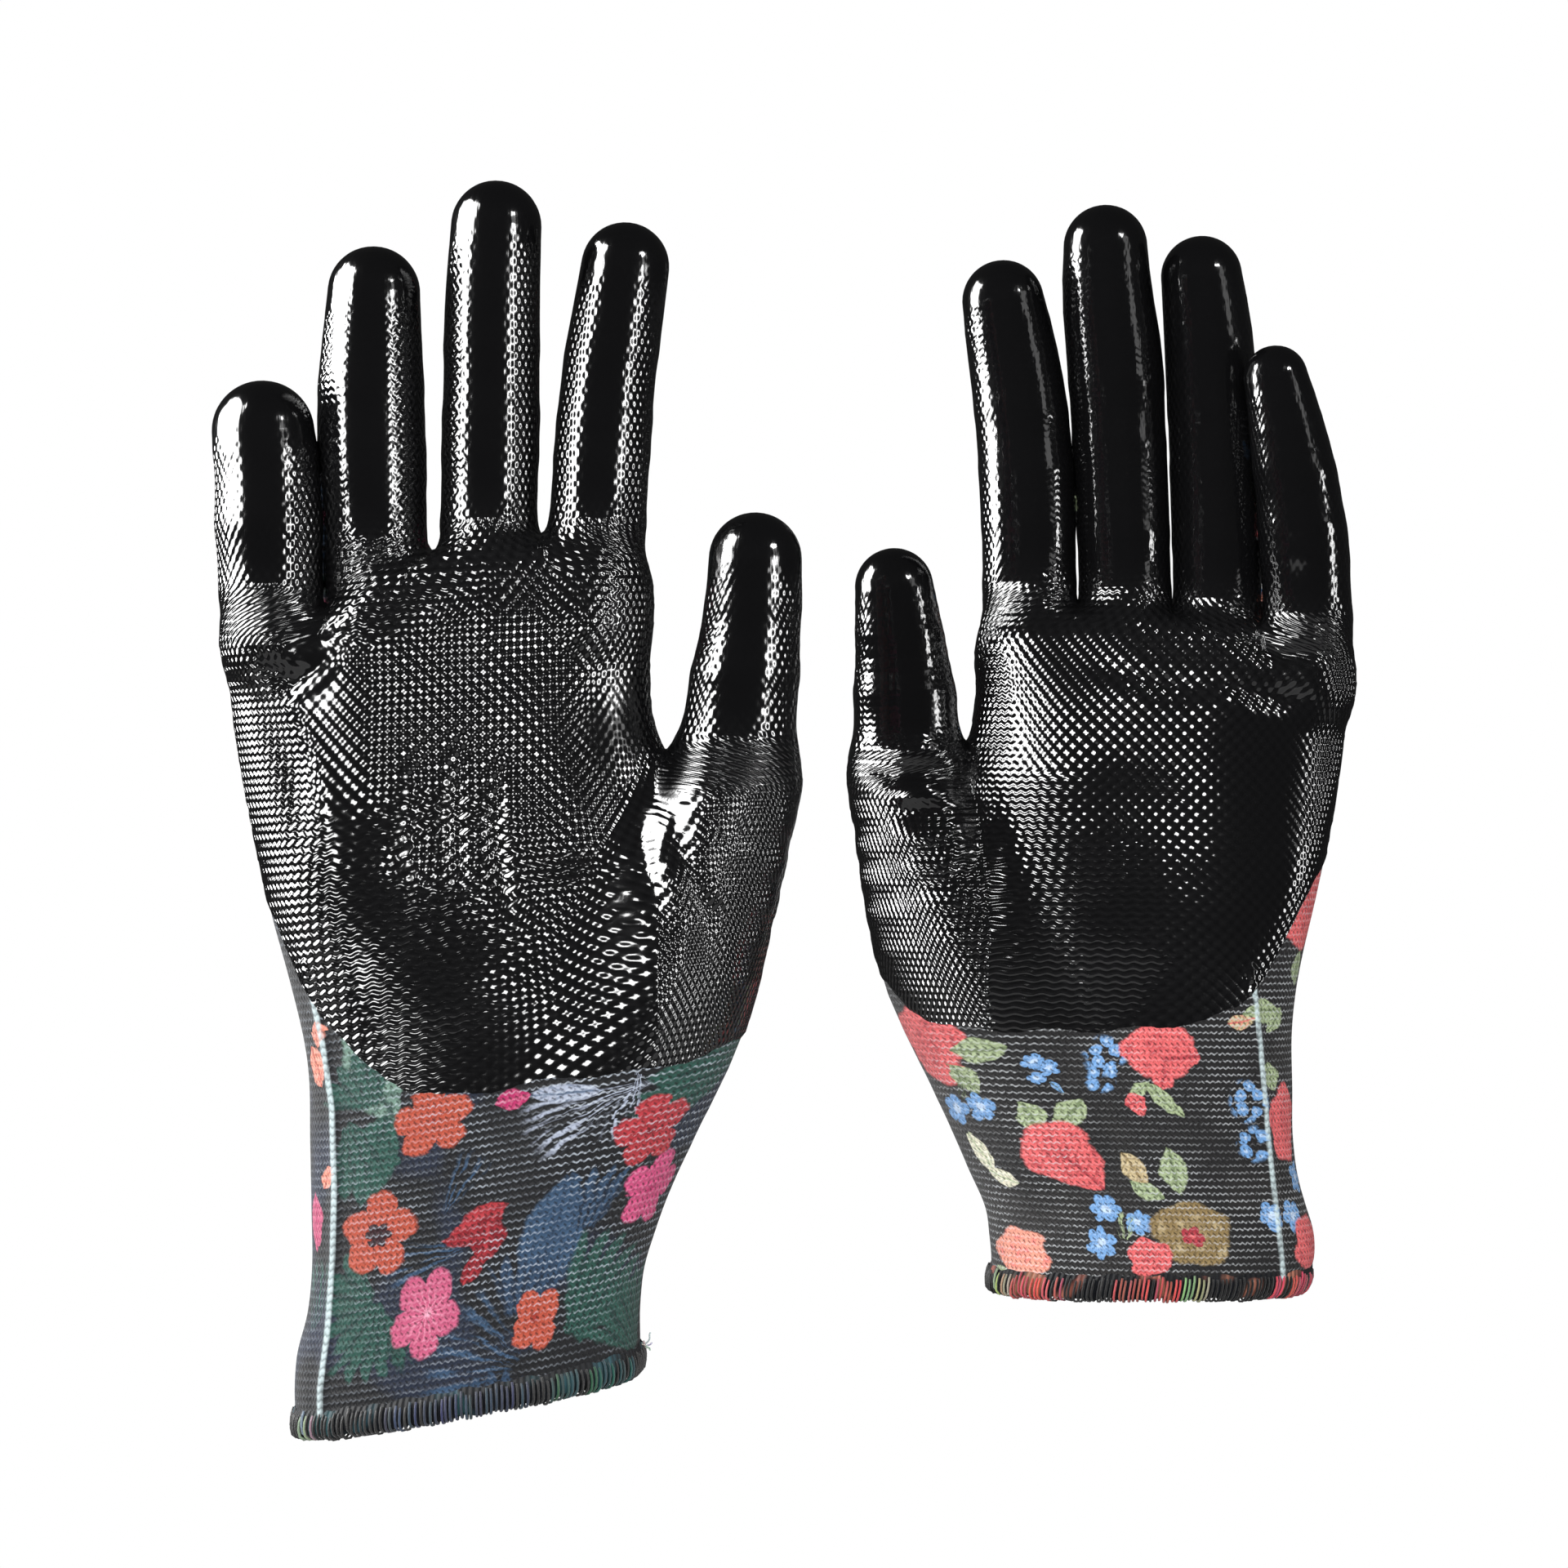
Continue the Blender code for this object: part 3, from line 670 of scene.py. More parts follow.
def write_chart(obj, chart, kept, quads):
    """The knit's coordinates as UV maps, in centimetres, and what else the materials read."""
    mesh = obj.data
    along = chart.along[quads].ravel()
    for name, across in (("knit", chart.round), ("weave", chart.weave)):
        layer = mesh.uv_layers.new(name=name)
        pairs = np.stack([unwrapped(across[quads], chart.period[quads]).ravel(), along], axis=1) / 10
        layer.data.foreach_set("uv", pairs.astype(np.float32).ravel())
    values = {
        "on_digit": chart.on_digit,
        "pooled": chart.pooled,
        "ridge": chart.ridge,
        "plain": chart.plain,
    }
    for name, value in values.items():
        attribute = mesh.attributes.new(name, "FLOAT", "POINT")
        attribute.data.foreach_set("value", value[kept].astype(np.float32))


def skin_piece(name, skin, data, chosen, lift, material):
    """One piece of skin: the chosen quads, lifted along their normals."""
    points, quads, normals, chart = data
    used = quads[chosen]
    kept, inverse = np.unique(used, return_inverse=True)
    faces = inverse.reshape(used.shape)
    place = np.array(skin.glove["place"])
    vertices = (points[kept] + normals[kept] * lift[kept][:, None] + place) * MM
    made = mesh_object(name, vertices, faces, material, normals[kept])
    write_chart(made, chart, kept, used)
    if isinstance(material, list):
        made.data.polygons.foreach_set("material_index", cell_of(chart, used))
    return made


def attach(obj, skin, label, kind):
    """Hides the CAD nodes that a piece of skin stands for, and puts a palm piece on its glove's body."""
    side = skin.glove["side"]
    coat = kind == "coat"
    if label == "palm":
        nodes = (
            ["palm_coat_lower", "palm_coat_upper"]
            if coat
            else ["cuff", "five_finger_body", "four_finger_body"]
        )
        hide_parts(*(f"{side}_{node}" for node in nodes))
        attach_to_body(obj, f"{side}_glove")
        return
    digit, part = label.rsplit("_", 1)
    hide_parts(f"{side}_{label}" + ("_coat" if coat else ""))
    which = 0 if part == "base" else 1
    start, end = skin.glove["digits"][digit]["bends"][which]
    px, py, pz = skin.glove["place"]
    px * MM
    py * MM
    (start + pz) * MM
    px * MM
    py * MM
    (end + pz) * MM
    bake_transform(obj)


def build_skin(skin, materials):
    """Every liner and coat piece of one glove."""
    glove = skin.glove
    points, quads, normals = skin_mesh(skin)
    chart = Chart(skin, points, normals)
    labels = piece_of(glove, chart, points, quads)
    hem = glove["hem_slope"] * points[:, 0] + glove["hem_rise"] + 2.0
    above_hem = (points[:, 2] > hem)[quads].all(1)
    data = (points, quads, normals, chart)
    lift = COAT_LIFT * np.clip(chart.coat / 0.9, -1, 1)
    coated = (chart.coat > -1.6)[quads].any(1)
    bare = np.zeros(len(points))
    for label in sorted(set(labels)):
        name = f"{glove['side']}_{label}"
        liner = skin_piece(
            f"{name}_liner", skin, data, (labels == label) & above_hem, bare, materials["print"]
        )
        attach(liner, skin, label, "liner")
        coat = skin_piece(
            f"{name}_nitrile", skin, data, (labels == label) & coated, lift, materials["coat"]
        )
        attach(coat, skin, label, "coat")
    build_lining(skin, data, above_hem, materials["lining"])


def build_lining(skin, data, above_hem, material):
    """The liner's inner face, seen through the wrist opening."""
    points, quads, normals, _ = data
    low = (points[:, 2] < 120)[quads].all(1) & above_hem
    used = quads[low]
    kept, inverse = np.unique(used, return_inverse=True)
    place = np.array(skin.glove["place"])
    vertices = (points[kept] - normals[kept] * LINER_WALL + place) * MM
    faces = inverse.reshape(used.shape)[:, ::-1]
    made = mesh_object(f"{skin.glove['side']}_lining", vertices, faces, material, -normals[kept])
    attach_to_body(made, f"{skin.glove['side']}_glove")


# ---------------------------------------------------------------- hem, elastic and thread


def section_ring(skin, height, offset, count):
    """Points round the cuff at this height above the hem's edge."""
    angles = np.linspace(0, 2 * math.pi, count, endpoint=False)
    slope = skin.glove["hem_slope"]
    x = np.zeros(count)
    for _ in range(4):
        z = slope * x + skin.glove["hem_rise"] + height
        left, right, deep, middle = skin.section(z)
        across = np.sign(np.sin(angles)) * np.abs(np.sin(angles)) ** (2 / SQUARENESS)
        inward = -np.sign(np.cos(angles)) * np.abs(np.cos(angles)) ** (2 / SQUARENESS)
        x = (left + right) / 2 + ((right - left) / 2 + offset) * across
        y = middle + (deep + offset) * inward
    return np.stack([x, y, z], axis=1)


def even_ring(skin, height, offset, count):
    """section_ring, with its points evenly spaced."""
    dense = section_ring(skin, height, offset, 720)
    closed = np.vstack([dense, dense[:1]])
    length = np.concatenate([[0], np.cumsum(np.linalg.norm(np.diff(closed, axis=0), axis=1))])
    at = np.linspace(0, length[-1], count, endpoint=False)
    return np.stack([np.interp(at, length, closed[:, i]) for i in range(3)], axis=1)


def tube_rings(path, radius, sides, closed=False):
    """Rings of vertices round a path, one after another."""
    ahead = np.roll(path, -1, 0) - np.roll(path, 1, 0)
    if not closed:
        ahead[0], ahead[-1] = path[1] - path[0], path[-1] - path[-2]
    ahead /= np.linalg.norm(ahead, axis=1)[:, None]
    guide = np.array([0.05, 0.1, 1.0]) if abs(ahead[:, 2]).mean() < 0.7 else np.array([1.0, 0.3, 0.1])
    one = np.cross(ahead, guide)
    one /= np.linalg.norm(one, axis=1)[:, None]
    two = np.cross(ahead, one)
    turn = np.linspace(0, 2 * math.pi, sides, endpoint=False)
    radius = np.broadcast_to(np.asarray(radius, float), (len(path),))
    wave = one[:, None] * np.cos(turn)[None, :, None] + two[:, None] * np.sin(turn)[None, :, None]
    return path[:, None] + radius[:, None, None] * wave


def ring_faces(rows, sides, start, closed=False):
    faces = []
    for i in range(rows if closed else rows - 1):
        a, b = start + i * sides, start + ((i + 1) % rows) * sides
        faces += [(a + k, a + (k + 1) % sides, b + (k + 1) % sides, b + k) for k in range(sides)]
    if not closed:
        faces.append(tuple(start + k for k in range(sides))[::-1])
        faces.append(tuple(start + (rows - 1) * sides + k for k in range(sides)))
    return faces


def tubes_object(name, paths, radius, sides, material, place, closed=False):
    vertices, faces = [], []
    for path in paths:
        rings = tube_rings(path, radius, sides, closed)
        faces += ring_faces(len(path), sides, len(vertices) * sides, closed)
        vertices += list(rings)
    points = (np.concatenate(vertices) + np.array(place)) * MM
    return mesh_object(name, points, faces, material)


def build_hem(skin, materials):
    """The rolled edge of the cuff, and the overlock's loops over it."""
    side = skin.glove["side"]
    count = HEM_SEGMENTS
    rings = np.stack([even_ring(skin, height, offset, count) for height, offset in HEM_PROFILE], axis=1)
    turn = np.arange(count) / count * 2 * math.pi
    rings[:, :, 2] += (0.22 * np.sin(turn * 31) + 0.16 * np.sin(turn * 17 + 1))[:, None]
    rows = len(HEM_PROFILE)
    faces = []
    for i in range(count):
        a, b = i * rows, ((i + 1) % count) * rows
        faces += [(a + k, a + k + 1, b + k + 1, b + k) for k in range(rows - 1)]
    vertices = (rings.reshape(-1, 3) + np.array(skin.glove["place"])) * MM
    band = mesh_object(f"{side}_hem_roll", vertices, faces, materials["hem"])
    layer = band.data.uv_layers.new(name="knit")
    around = np.arange(count + 1) * AROUND / count / 10
    uv = []
    for i in range(count):
        for k in range(rows - 1):
            low, high = k * 0.1, k * 0.1 + 0.1
            uv += [(around[i], low), (around[i], high), (around[i + 1], high), (around[i + 1], low)]
    layer.data.foreach_set("uv", np.array(uv, np.float32).ravel())
    rides(band, (f"{side}_hem_overlock",), f"{side}_glove")
    build_stitches(skin, materials)


def tint(obj, colours):
    """One colour for every tube of an object, as a colour attribute."""
    layer = obj.data.color_attributes.new(name="tint", type="FLOAT_COLOR", domain="POINT")
    each = len(obj.data.vertices) // len(colours)
    rows = np.repeat(np.array([(*c, 1.0) for c in colours], np.float32), each, axis=0)
    layer.data.foreach_set("color", rows.ravel())


def hem_colour(bands, x, chance):
    """The print's colour at this place along the hem, or the dark ground."""
    for low, high, colour in bands:
        if low <= x < high and chance.random() < 0.8:
            return tuple(c * chance.uniform(0.5, 1.1) for c in colour)
    return (0.006 * chance.uniform(0.5, 2.0),) * 3


def build_stitches(skin, materials):
    """The overlock's loops, each leaning a little and in the colour of the print beside it."""
    side = skin.glove["side"]
    count = HEM_STITCHES
    chance = np.random.default_rng(7)
    rows = len(STITCH_PROFILE)
    rings = np.stack([even_ring(skin, height, offset, count) for height, offset in STITCH_PROFILE], axis=1)
    slant = np.linspace(-0.28, 0.28, rows)
    after = np.roll(rings, -1, 0)
    loops, colours = [], []
    for i in range(count):
        lean = slant + chance.normal(0, 0.1)
        loop = rings[i] + (after[i] - rings[i]) * lean[:, None]
        loop[:, 2] += chance.normal(0, 0.25) * np.linspace(1.5, 0.3, rows)
        loops.append(loop)
        colours.append(hem_colour(skin.glove["hem_bands"], loop[0, 0], chance))
    stitches = tubes_object(
        f"{side}_hem_stitches", loops, 0.27, 5, materials["thread"], skin.glove["place"]
    )
    tint(stitches, colours)
    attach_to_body(stitches, f"{side}_glove")


def build_elastic(skin, materials):
    """Turns of elastic yarn inlaid in the cuff's inner face."""
    side = skin.glove["side"]
    turns = []
    for i in range(9):
        ring = even_ring(skin, 9.0 + 3.0 * i, -LINER_WALL - 0.35, 180)
        ring[:, 2] += 0.15 * np.sin(np.arange(180) * 1.4 + i)
        turns.append(ring)
    made = tubes_object(
        f"{side}_elastic_turns", turns, 0.28, 6, materials["elastic"], skin.glove["place"], closed=True
    )
    rides(made, (f"{side}_cuff_elastic",), f"{side}_glove")


def build_tail(skin, materials):
    """The overlock's loose ends: a short tuft of curled threads, tucked in or standing out."""
    glove = skin.glove
    toward, height, offset, colour = glove["tail"]
    ring = section_ring(skin, height, offset, 4)
    start = ring[1 if toward > 0 else 3]
    chance = np.random.default_rng(11)
    strands, colours = [], []
    for _ in range(9):
        share = np.linspace(0, 1, 9)[:, None]
        heading = np.array(
            [toward * chance.uniform(0.1, 0.8), chance.uniform(-0.5, 0.5), chance.uniform(-0.2, 1.0)]
        )
        curl = chance.uniform(0.3, 0.9)
        bend = np.stack(
            [np.sin(share[:, 0] * 5) * curl * toward, np.cos(share[:, 0] * 4) * curl, share[:, 0] * 0],
            axis=1,
        )
        strands.append(start + share * heading * chance.uniform(1.8, 3.6) + bend * share)
        colours.append(tuple(c * chance.uniform(0.7, 1.1) for c in colour))
    side = glove["side"]
    made = tubes_object(f"{side}_tail_threads", strands, 0.16, 5, materials["thread"], glove["place"])
    tint(made, colours)
    rides(made, (f"{side}_thread_tail",), f"{side}_glove")


# ---------------------------------------------------------------- materials


class Value:
    """A socket in a node tree that can be used in arithmetic."""

    def __init__(self, tree, socket):
        self.tree = tree
        self.socket = socket

    def _math(self, operation, *others):
        node = self.tree.nodes.new("ShaderNodeMath")
        node.operation = operation
        for slot_index, item in enumerate((self, *others)):
            if isinstance(item, Value):
                self.tree.links.new(item.socket, node.inputs[slot_index])
            else:
                node.inputs[slot_index].default_value = item
        return Value(self.tree, node.outputs[0])

    def __add__(self, other):
        return self._math("ADD", other)

    def __sub__(self, other):
        return self._math("SUBTRACT", other)

    def __mul__(self, other):
        return self._math("MULTIPLY", other)

    def __truediv__(self, other):
        return self._math("DIVIDE", other)

    def flipped(self):
        """One minus this."""
        return self._math("MULTIPLY_ADD", -1.0, 1.0)

    def sin(self):
        return self._math("SINE")

    def cos(self):
        return self._math("COSINE")

    def abs(self):
        return self._math("ABSOLUTE")

    def floor(self):
        return self._math("FLOOR")

    def fraction(self):
        return self._math("FRACT")

    def modulo(self, other):
        return self._math("FLOORED_MODULO", other)

    def power(self, other):
        return self._math("POWER", other)

    def most(self, other):
        return self._math("MAXIMUM", other)

    def angle_with(self, other):
        return self._math("ARCTAN2", other)

    def length_with(self, other):
        return (self * self + other * other)._math("SQRT")

    def between(self, low, high):
        """0 below low, 1 above high, and a smooth step between them."""
        node = self.tree.nodes.new("ShaderNodeMapRange")
        node.interpolation_type = "SMOOTHSTEP"
        self.tree.links.new(self.socket, node.inputs["Value"])
        node.inputs["From Min"].default_value = low
        node.inputs["From Max"].default_value = high
        return Value(self.tree, node.outputs["Result"])


class Paint:
    """A material being painted: its tree, its shader and its coordinates."""

    def __init__(self, name):
        self.material = bpy.data.materials.new(name)
        self.material.use_nodes = True
        self.tree = self.material.node_tree
        self.shader = self.tree.nodes["Principled BSDF"]

    def node(self, kind, **settings):
        made = self.tree.nodes.new(kind)
        for key, value in settings.items():
            setattr(made, key, value)
        return made

    def attribute(self, name):
        return Value(self.tree, self.node("ShaderNodeAttribute", attribute_name=name).outputs["Fac"])

    def knit(self, layer="knit"):
        """Millimetres round and along the knit."""
        uv = self.node("ShaderNodeUVMap", uv_map=layer)
        split = self.node("ShaderNodeSeparateXYZ")
        self.tree.links.new(uv.outputs["UV"], split.inputs[0])
        return Value(self.tree, split.outputs["X"]) * 10.0, Value(self.tree, split.outputs["Y"]) * 10.0

    def noise(self, x, y, scale, detail=2.0):
        """Noise from 0 to 1 over two values."""
        joined = self.joined(x, y)
        made = self.node("ShaderNodeTexNoise", noise_dimensions="2D")
        made.inputs["Scale"].default_value = scale
        made.inputs["Detail"].default_value = detail
        self.tree.links.new(joined, made.inputs["Vector"])
        return Value(self.tree, made.outputs["Fac"])

    def object_noise(self, scale, detail=3.0):
        """Noise from 0 to 1 over the object's own space, in metres."""
        place = self.node("ShaderNodeTexCoord")
        made = self.node("ShaderNodeTexNoise")
        made.inputs["Scale"].default_value = scale
        made.inputs["Detail"].default_value = detail
        self.tree.links.new(place.outputs["Object"], made.inputs["Vector"])
        return Value(self.tree, made.outputs["Fac"])

    def chance(self, x, y, salt):
        """A random number for each whole pair x, y."""
        joined = self.joined(x + salt * 7.31, y + salt * 3.17)
        made = self.node("ShaderNodeTexWhiteNoise", noise_dimensions="2D")
        self.tree.links.new(joined, made.inputs["Vector"])
        return Value(self.tree, made.outputs["Value"])

    def joined(self, x, y):
        made = self.node("ShaderNodeCombineXYZ")
        self.tree.links.new(x.socket, made.inputs[0])
        self.tree.links.new(y.socket, made.inputs[1])
        return made.outputs[0]

    def mix(self, below, above, share):
        """Colour above over colour below; colours are sockets or RGB."""
        made = self.node("ShaderNodeMix", data_type="RGBA")
        for index, item in ((6, below), (7, above)):
            if isinstance(item, tuple):
                made.inputs[index].default_value = (*item, 1.0)
            else:
                self.tree.links.new(item, made.inputs[index])
        if isinstance(share, Value):
            self.tree.links.new(share.socket, made.inputs[0])
        else:
            made.inputs[0].default_value = share
        return made.outputs[2]

    def set(self, name, value):
        if isinstance(value, Value):
            self.tree.links.new(value.socket, self.shader.inputs[name])
        elif hasattr(value, "links"):
            self.tree.links.new(value, self.shader.inputs[name])
        else:
            self.shader.inputs[name].default_value = value

    def bump(self, height, distance, strength=1.0):
        """Height from 0 to 1, worth this many millimetres."""
        made = self.node("ShaderNodeBump")
        made.inputs["Distance"].default_value = distance * MM
        made.inputs["Strength"].default_value = strength
        self.tree.links.new(height.socket, made.inputs["Height"])
        self.tree.links.new(made.outputs[0], self.shader.inputs["Normal"])




def coat_material():
    """Glossy black nitrile: stitches stand through it, less so where it pooled on the digits."""
    paint = Paint("nitrile_coat")
    u, v = paint.knit("weave")
    on_digit = paint.attribute("on_digit")
    pooled = paint.attribute("pooled")
    drift = (paint.noise(u, v, 0.05) - 0.5) * 1.6
    wale = u * (TURN / COAT_WALE) + drift
    course = v * (TURN / COAT_COURSE)
    dots = wale.cos() * course.cos() * 0.5 + 0.5
    rows = (wale.sin() * 0.9 + course * 2.0).sin() * 0.5 + 0.5
    wavy = paint.noise(u, v + 30.0, 0.022).between(0.46, 0.62) * 0.6
    stitch = dots * wavy.flipped() + rows * wavy
    patchy = paint.noise(u + 70.0, v, 0.045).between(0.3, 0.65)
    show = (pooled * 0.95).flipped() * (patchy * 0.3 + 0.7)
    ripple = paint.noise(u * 2.2, v * 0.3, 0.22, 3.0)
    paint.bump(stitch * show + ripple * on_digit * 0.22, 0.34)
    paint.set("Base Color", paint.mix((0.003, 0.003, 0.0033), (0.008, 0.008, 0.0085), stitch * show))
    paint.set("Roughness", paint.object_noise(90.0) * 0.08 + 0.07)
    paint.set("Specular IOR Level", 0.62)
    return paint.material


def print_materials(name, ground, layers, motifs, line, fade):
    """One material for the back and the digits, then one for each cell of the palm side."""
    behind = [motif for motif in motifs if any(reaches(motif, cell) for cell in BACK_CELLS)]
    made = [print_material(f"{name}_back", ground, layers, behind, line, fade)]
    for i, cell in enumerate(FRONT_CELLS):
        inside = [motif for motif in motifs if reaches(motif, cell)]
        made.append(print_material(f"{name}_front_{i}", ground, (), inside, line, fade))
    return made


def reaches(motif, cell):
    """Whether any of a placed motif falls in a cell."""
    kind, u, v, *sizes = motif
    size = max(sizes[:2]) if kind in ("flower", "rose", "leaf") else sizes[0]
    reach = 1.1 * size + 2.0
    low_u, high_u, low_v, high_v = cell
    return low_u - reach < u < high_u + reach and low_v - reach < v < high_v + reach


def print_material(name, ground, layers, motifs, line, fade):
    """Printed knit: a dark ground, scattered motifs on the back, and placed motifs on the front."""
    paint = Paint(name)
    u, v = paint.knit()
    course = (v / PRINT_COURSE).floor()
    jag = (paint.chance(course, course, 3) - 0.5) * 0.6
    wobble_u = (paint.noise(u, v, 0.2) - 0.5) * 1.8
    wobble_v = (paint.noise(u + 40.0, v, 0.2) - 0.5) * 1.8
    pu, pv = u + jag + wobble_u, v + wobble_v
    cloud = paint.noise(u, v, 0.035)
    colour = paint.mix(ground[0], ground[1], cloud.between(0.5, 0.62))
    shown = paint.attribute("plain").flipped()
    for layer in layers:
        colour = scatter(paint, colour, pu, pv, shown, **layer)
    for kind, *numbers in motifs:
        colour = MOTIFS[kind](paint, colour, pu, pv, *numbers)
    finish_knit(paint, colour, u, v, line, fade)
    return paint.material


def finish_knit(paint, colour, u, v, line, fade):
    """The knit over the print: light courses, gaps between stitches, the fold, and the relief.

    Fade is how much of the light courses is lost toward the little finger's side and the hem.
    """
    fuzz = paint.noise(u, v, 1.6, 3.0)
    patches = paint.noise(u + 15.0, v, 0.07, 3.0).between(0.36, 0.62)
    wale = u * (TURN / PRINT_WALE) + paint.noise(u, v, 0.1) * 3.0
    course = (v / PRINT_COURSE + wale.sin() * 0.11).fraction()
    light = (course - 0.5).abs().between(0.07, 0.17).flipped()
    gap = (course - 0.86).abs().between(0.05, 0.2).flipped() * (wale.cos()).between(-0.5, 0.6)
    colour = paint.mix((0.004, 0.004, 0.005), colour, fuzz.between(0.2, 0.55) * 0.5 + 0.5)
    colour = paint.mix(colour, (0.004, 0.004, 0.005), gap * 0.6)
    kept = u.between(-32, -4) * fade + (1 - fade)
    kept = kept * (v.between(6, 34) * fade + (1 - fade))
    colour = paint.mix(colour, line, light * (patches * 0.45 + 0.16) * fuzz.between(0.3, 0.6) * kept)
    fold = paint.attribute("ridge").between(0.3, 0.8).flipped()
    bead = (course - 0.5).abs().between(0.2, 0.5).flipped() * 0.45 + 0.5
    colour = paint.mix(colour, (0.55, 0.66, 0.68), fold * bead)
    relief = (course * TURN).cos() * -0.5 + 0.5
    paint.bump(relief * 0.6 + fuzz * 0.35 + gap * -0.4, 0.3)
    paint.set("Base Color", colour)
    paint.set("Roughness", 0.85)
    paint.set("Specular IOR Level", 0.2)
    paint.set("Sheen Weight", 0.1)


# Motifs. Each takes the colour so far, and places one shape at u, v on the knit, in millimetres.


def local(du, dv, turn):
    """Coordinates along axes turned by this many degrees."""
    c, s = math.cos(math.radians(turn)), math.sin(math.radians(turn))
    return du * c + dv * s, dv * c - du * s


def flower(paint, colour, u, v, at_u, at_v, wide, tall, petals, turn, petal, heart, heart_size=0.2):
    """Round petals with notches between them."""
    x, y = local((u - at_u) / wide, (v - at_v) / tall, turn)
    radius = x.length_with(y)
    angle = y.angle_with(x)
    lobe = (angle * (petals / 2)).cos().abs().power(0.55)
    inside = (lobe * 0.42 + 0.6 - radius).between(-0.04, 0.07)
    stripes = (angle * (petals * 3.0)).cos().between(0.2, 0.9) * radius.between(0.2, 0.8).flipped()
    lit = paint.mix(petal, heart, stripes * 0.5)
    lit = paint.mix(lit, heart, (radius - heart_size).between(-0.06, 0.08).flipped())
    return paint.mix(colour, lit, inside)


def rose(paint, colour, u, v, at_u, at_v, wide, tall, turn, petal, deep):
    """Ruffled petals wound round a darker heart."""
    x, y = local((u - at_u) / wide, (v - at_v) / tall, turn)
    radius = x.length_with(y)
    angle = y.angle_with(x)
    edge = (angle * 5.0).cos() * 0.06 + (angle * 3.0).sin() * 0.05 + 0.92
    inside = (edge - radius).between(-0.05, 0.06)
    whorl = (angle * 2.0 + radius * 12.0).sin() * 0.6 + (angle * 5.0 - radius * 7.0).sin() * 0.4
    shade = whorl.between(0.35, 1.0) * 0.55 + radius.between(0.0, 0.5).flipped() * 0.3
    return paint.mix(colour, paint.mix(petal, deep, shade), inside)


def leaf(paint, colour, u, v, at_u, at_v, length, width, turn, blade, vein):
    """A leaf with a midrib and side veins."""
    x, y = local(u - at_u, v - at_v, turn)
    x, y = x / length, y / width
    edge = (x * x).flipped() - y.abs()
    inside = edge.between(-0.02, 0.16)
    ribs = ((x * 6.0 + y.abs() * 3.0) * 2.2).sin().between(0.4, 0.9)
    rib = y.abs().between(0.05, 0.16).flipped().most(ribs * 0.6)
    return paint.mix(colour, paint.mix(blade, vein, rib * 0.8), inside)


def fan(paint, colour, u, v, at_u, at_v, size, spread, turn, blades, blade, gap, inner=0.1):
    """Narrow blades that open from one point."""
    x, y = local(u - at_u, v - at_v, turn)
    radius = x.length_with(y) / size
    angle = y.angle_with(x)
    ray = (angle * (blades * 180.0 / spread) + radius * 1.2).cos().abs()
    tips = (ray * 0.25 + 0.77 - radius).between(0.0, 0.08)
    within = (angle.abs() - math.radians(spread) / 2).between(-0.06, 0.06).flipped()
    start = (radius - inner).between(0.0, 0.06)
    streak = paint.noise(angle * 30.0, radius * 3.0, 1.0) * 0.7 + 0.45
    shade = ray.between(0.25, 0.8) * streak
    return paint.mix(colour, paint.mix(gap, blade, shade), tips * within * start * 0.95)


def strokes(paint, colour, u, v, at_u, at_v, size, spread, turn, blades, blade, inner=0.1):
    """Thin brush strokes that open from one point, with the ground between them."""
    x, y = local(u - at_u, v - at_v, turn)
    radius = x.length_with(y) / size
    angle = y.angle_with(x)
    ray = (angle * (blades * 180.0 / spread) - radius * 2.0).cos().abs()
    wisp = paint.noise(angle * 14.0, radius * 2.0, 1.0)
    thin = ray.between(0.55, 0.9) * wisp.between(0.35, 0.6)
    within = (angle.abs() - math.radians(spread) / 2).between(-0.06, 0.06).flipped()
    reach = radius.between(0.8, 1.0).flipped() * (radius - inner).between(0.0, 0.1)
    return paint.mix(colour, blade, thin * within * reach)


def blossoms(paint, colour, u, v, at_u, at_v, size, blossom, eye):
    """A loose knot of small five-petalled blossoms."""
    cells = paint.node("ShaderNodeTexVoronoi", voronoi_dimensions="2D", distance="EUCLIDEAN")
    cells.inputs["Scale"].default_value = 0.34
    cells.inputs["Randomness"].default_value = 0.8
    paint.tree.links.new(paint.joined(u - at_u, v - at_v), cells.inputs["Vector"])
    far = Value(paint.tree, cells.outputs["Distance"])
    near = ((u - at_u).length_with(v - at_v) / size).between(0.75, 1.05).flipped()
    dots = far.between(0.4, 0.5).flipped() * near
    colour = paint.mix(colour, blossom, dots)
    return paint.mix(colour, eye, dots * far.between(0.06, 0.2).flipped() * 0.8)


MOTIFS = {
    "flower": flower,
    "rose": rose,
    "leaf": leaf,
    "fan": fan,
    "strokes": strokes,
    "blossoms": blossoms,
}


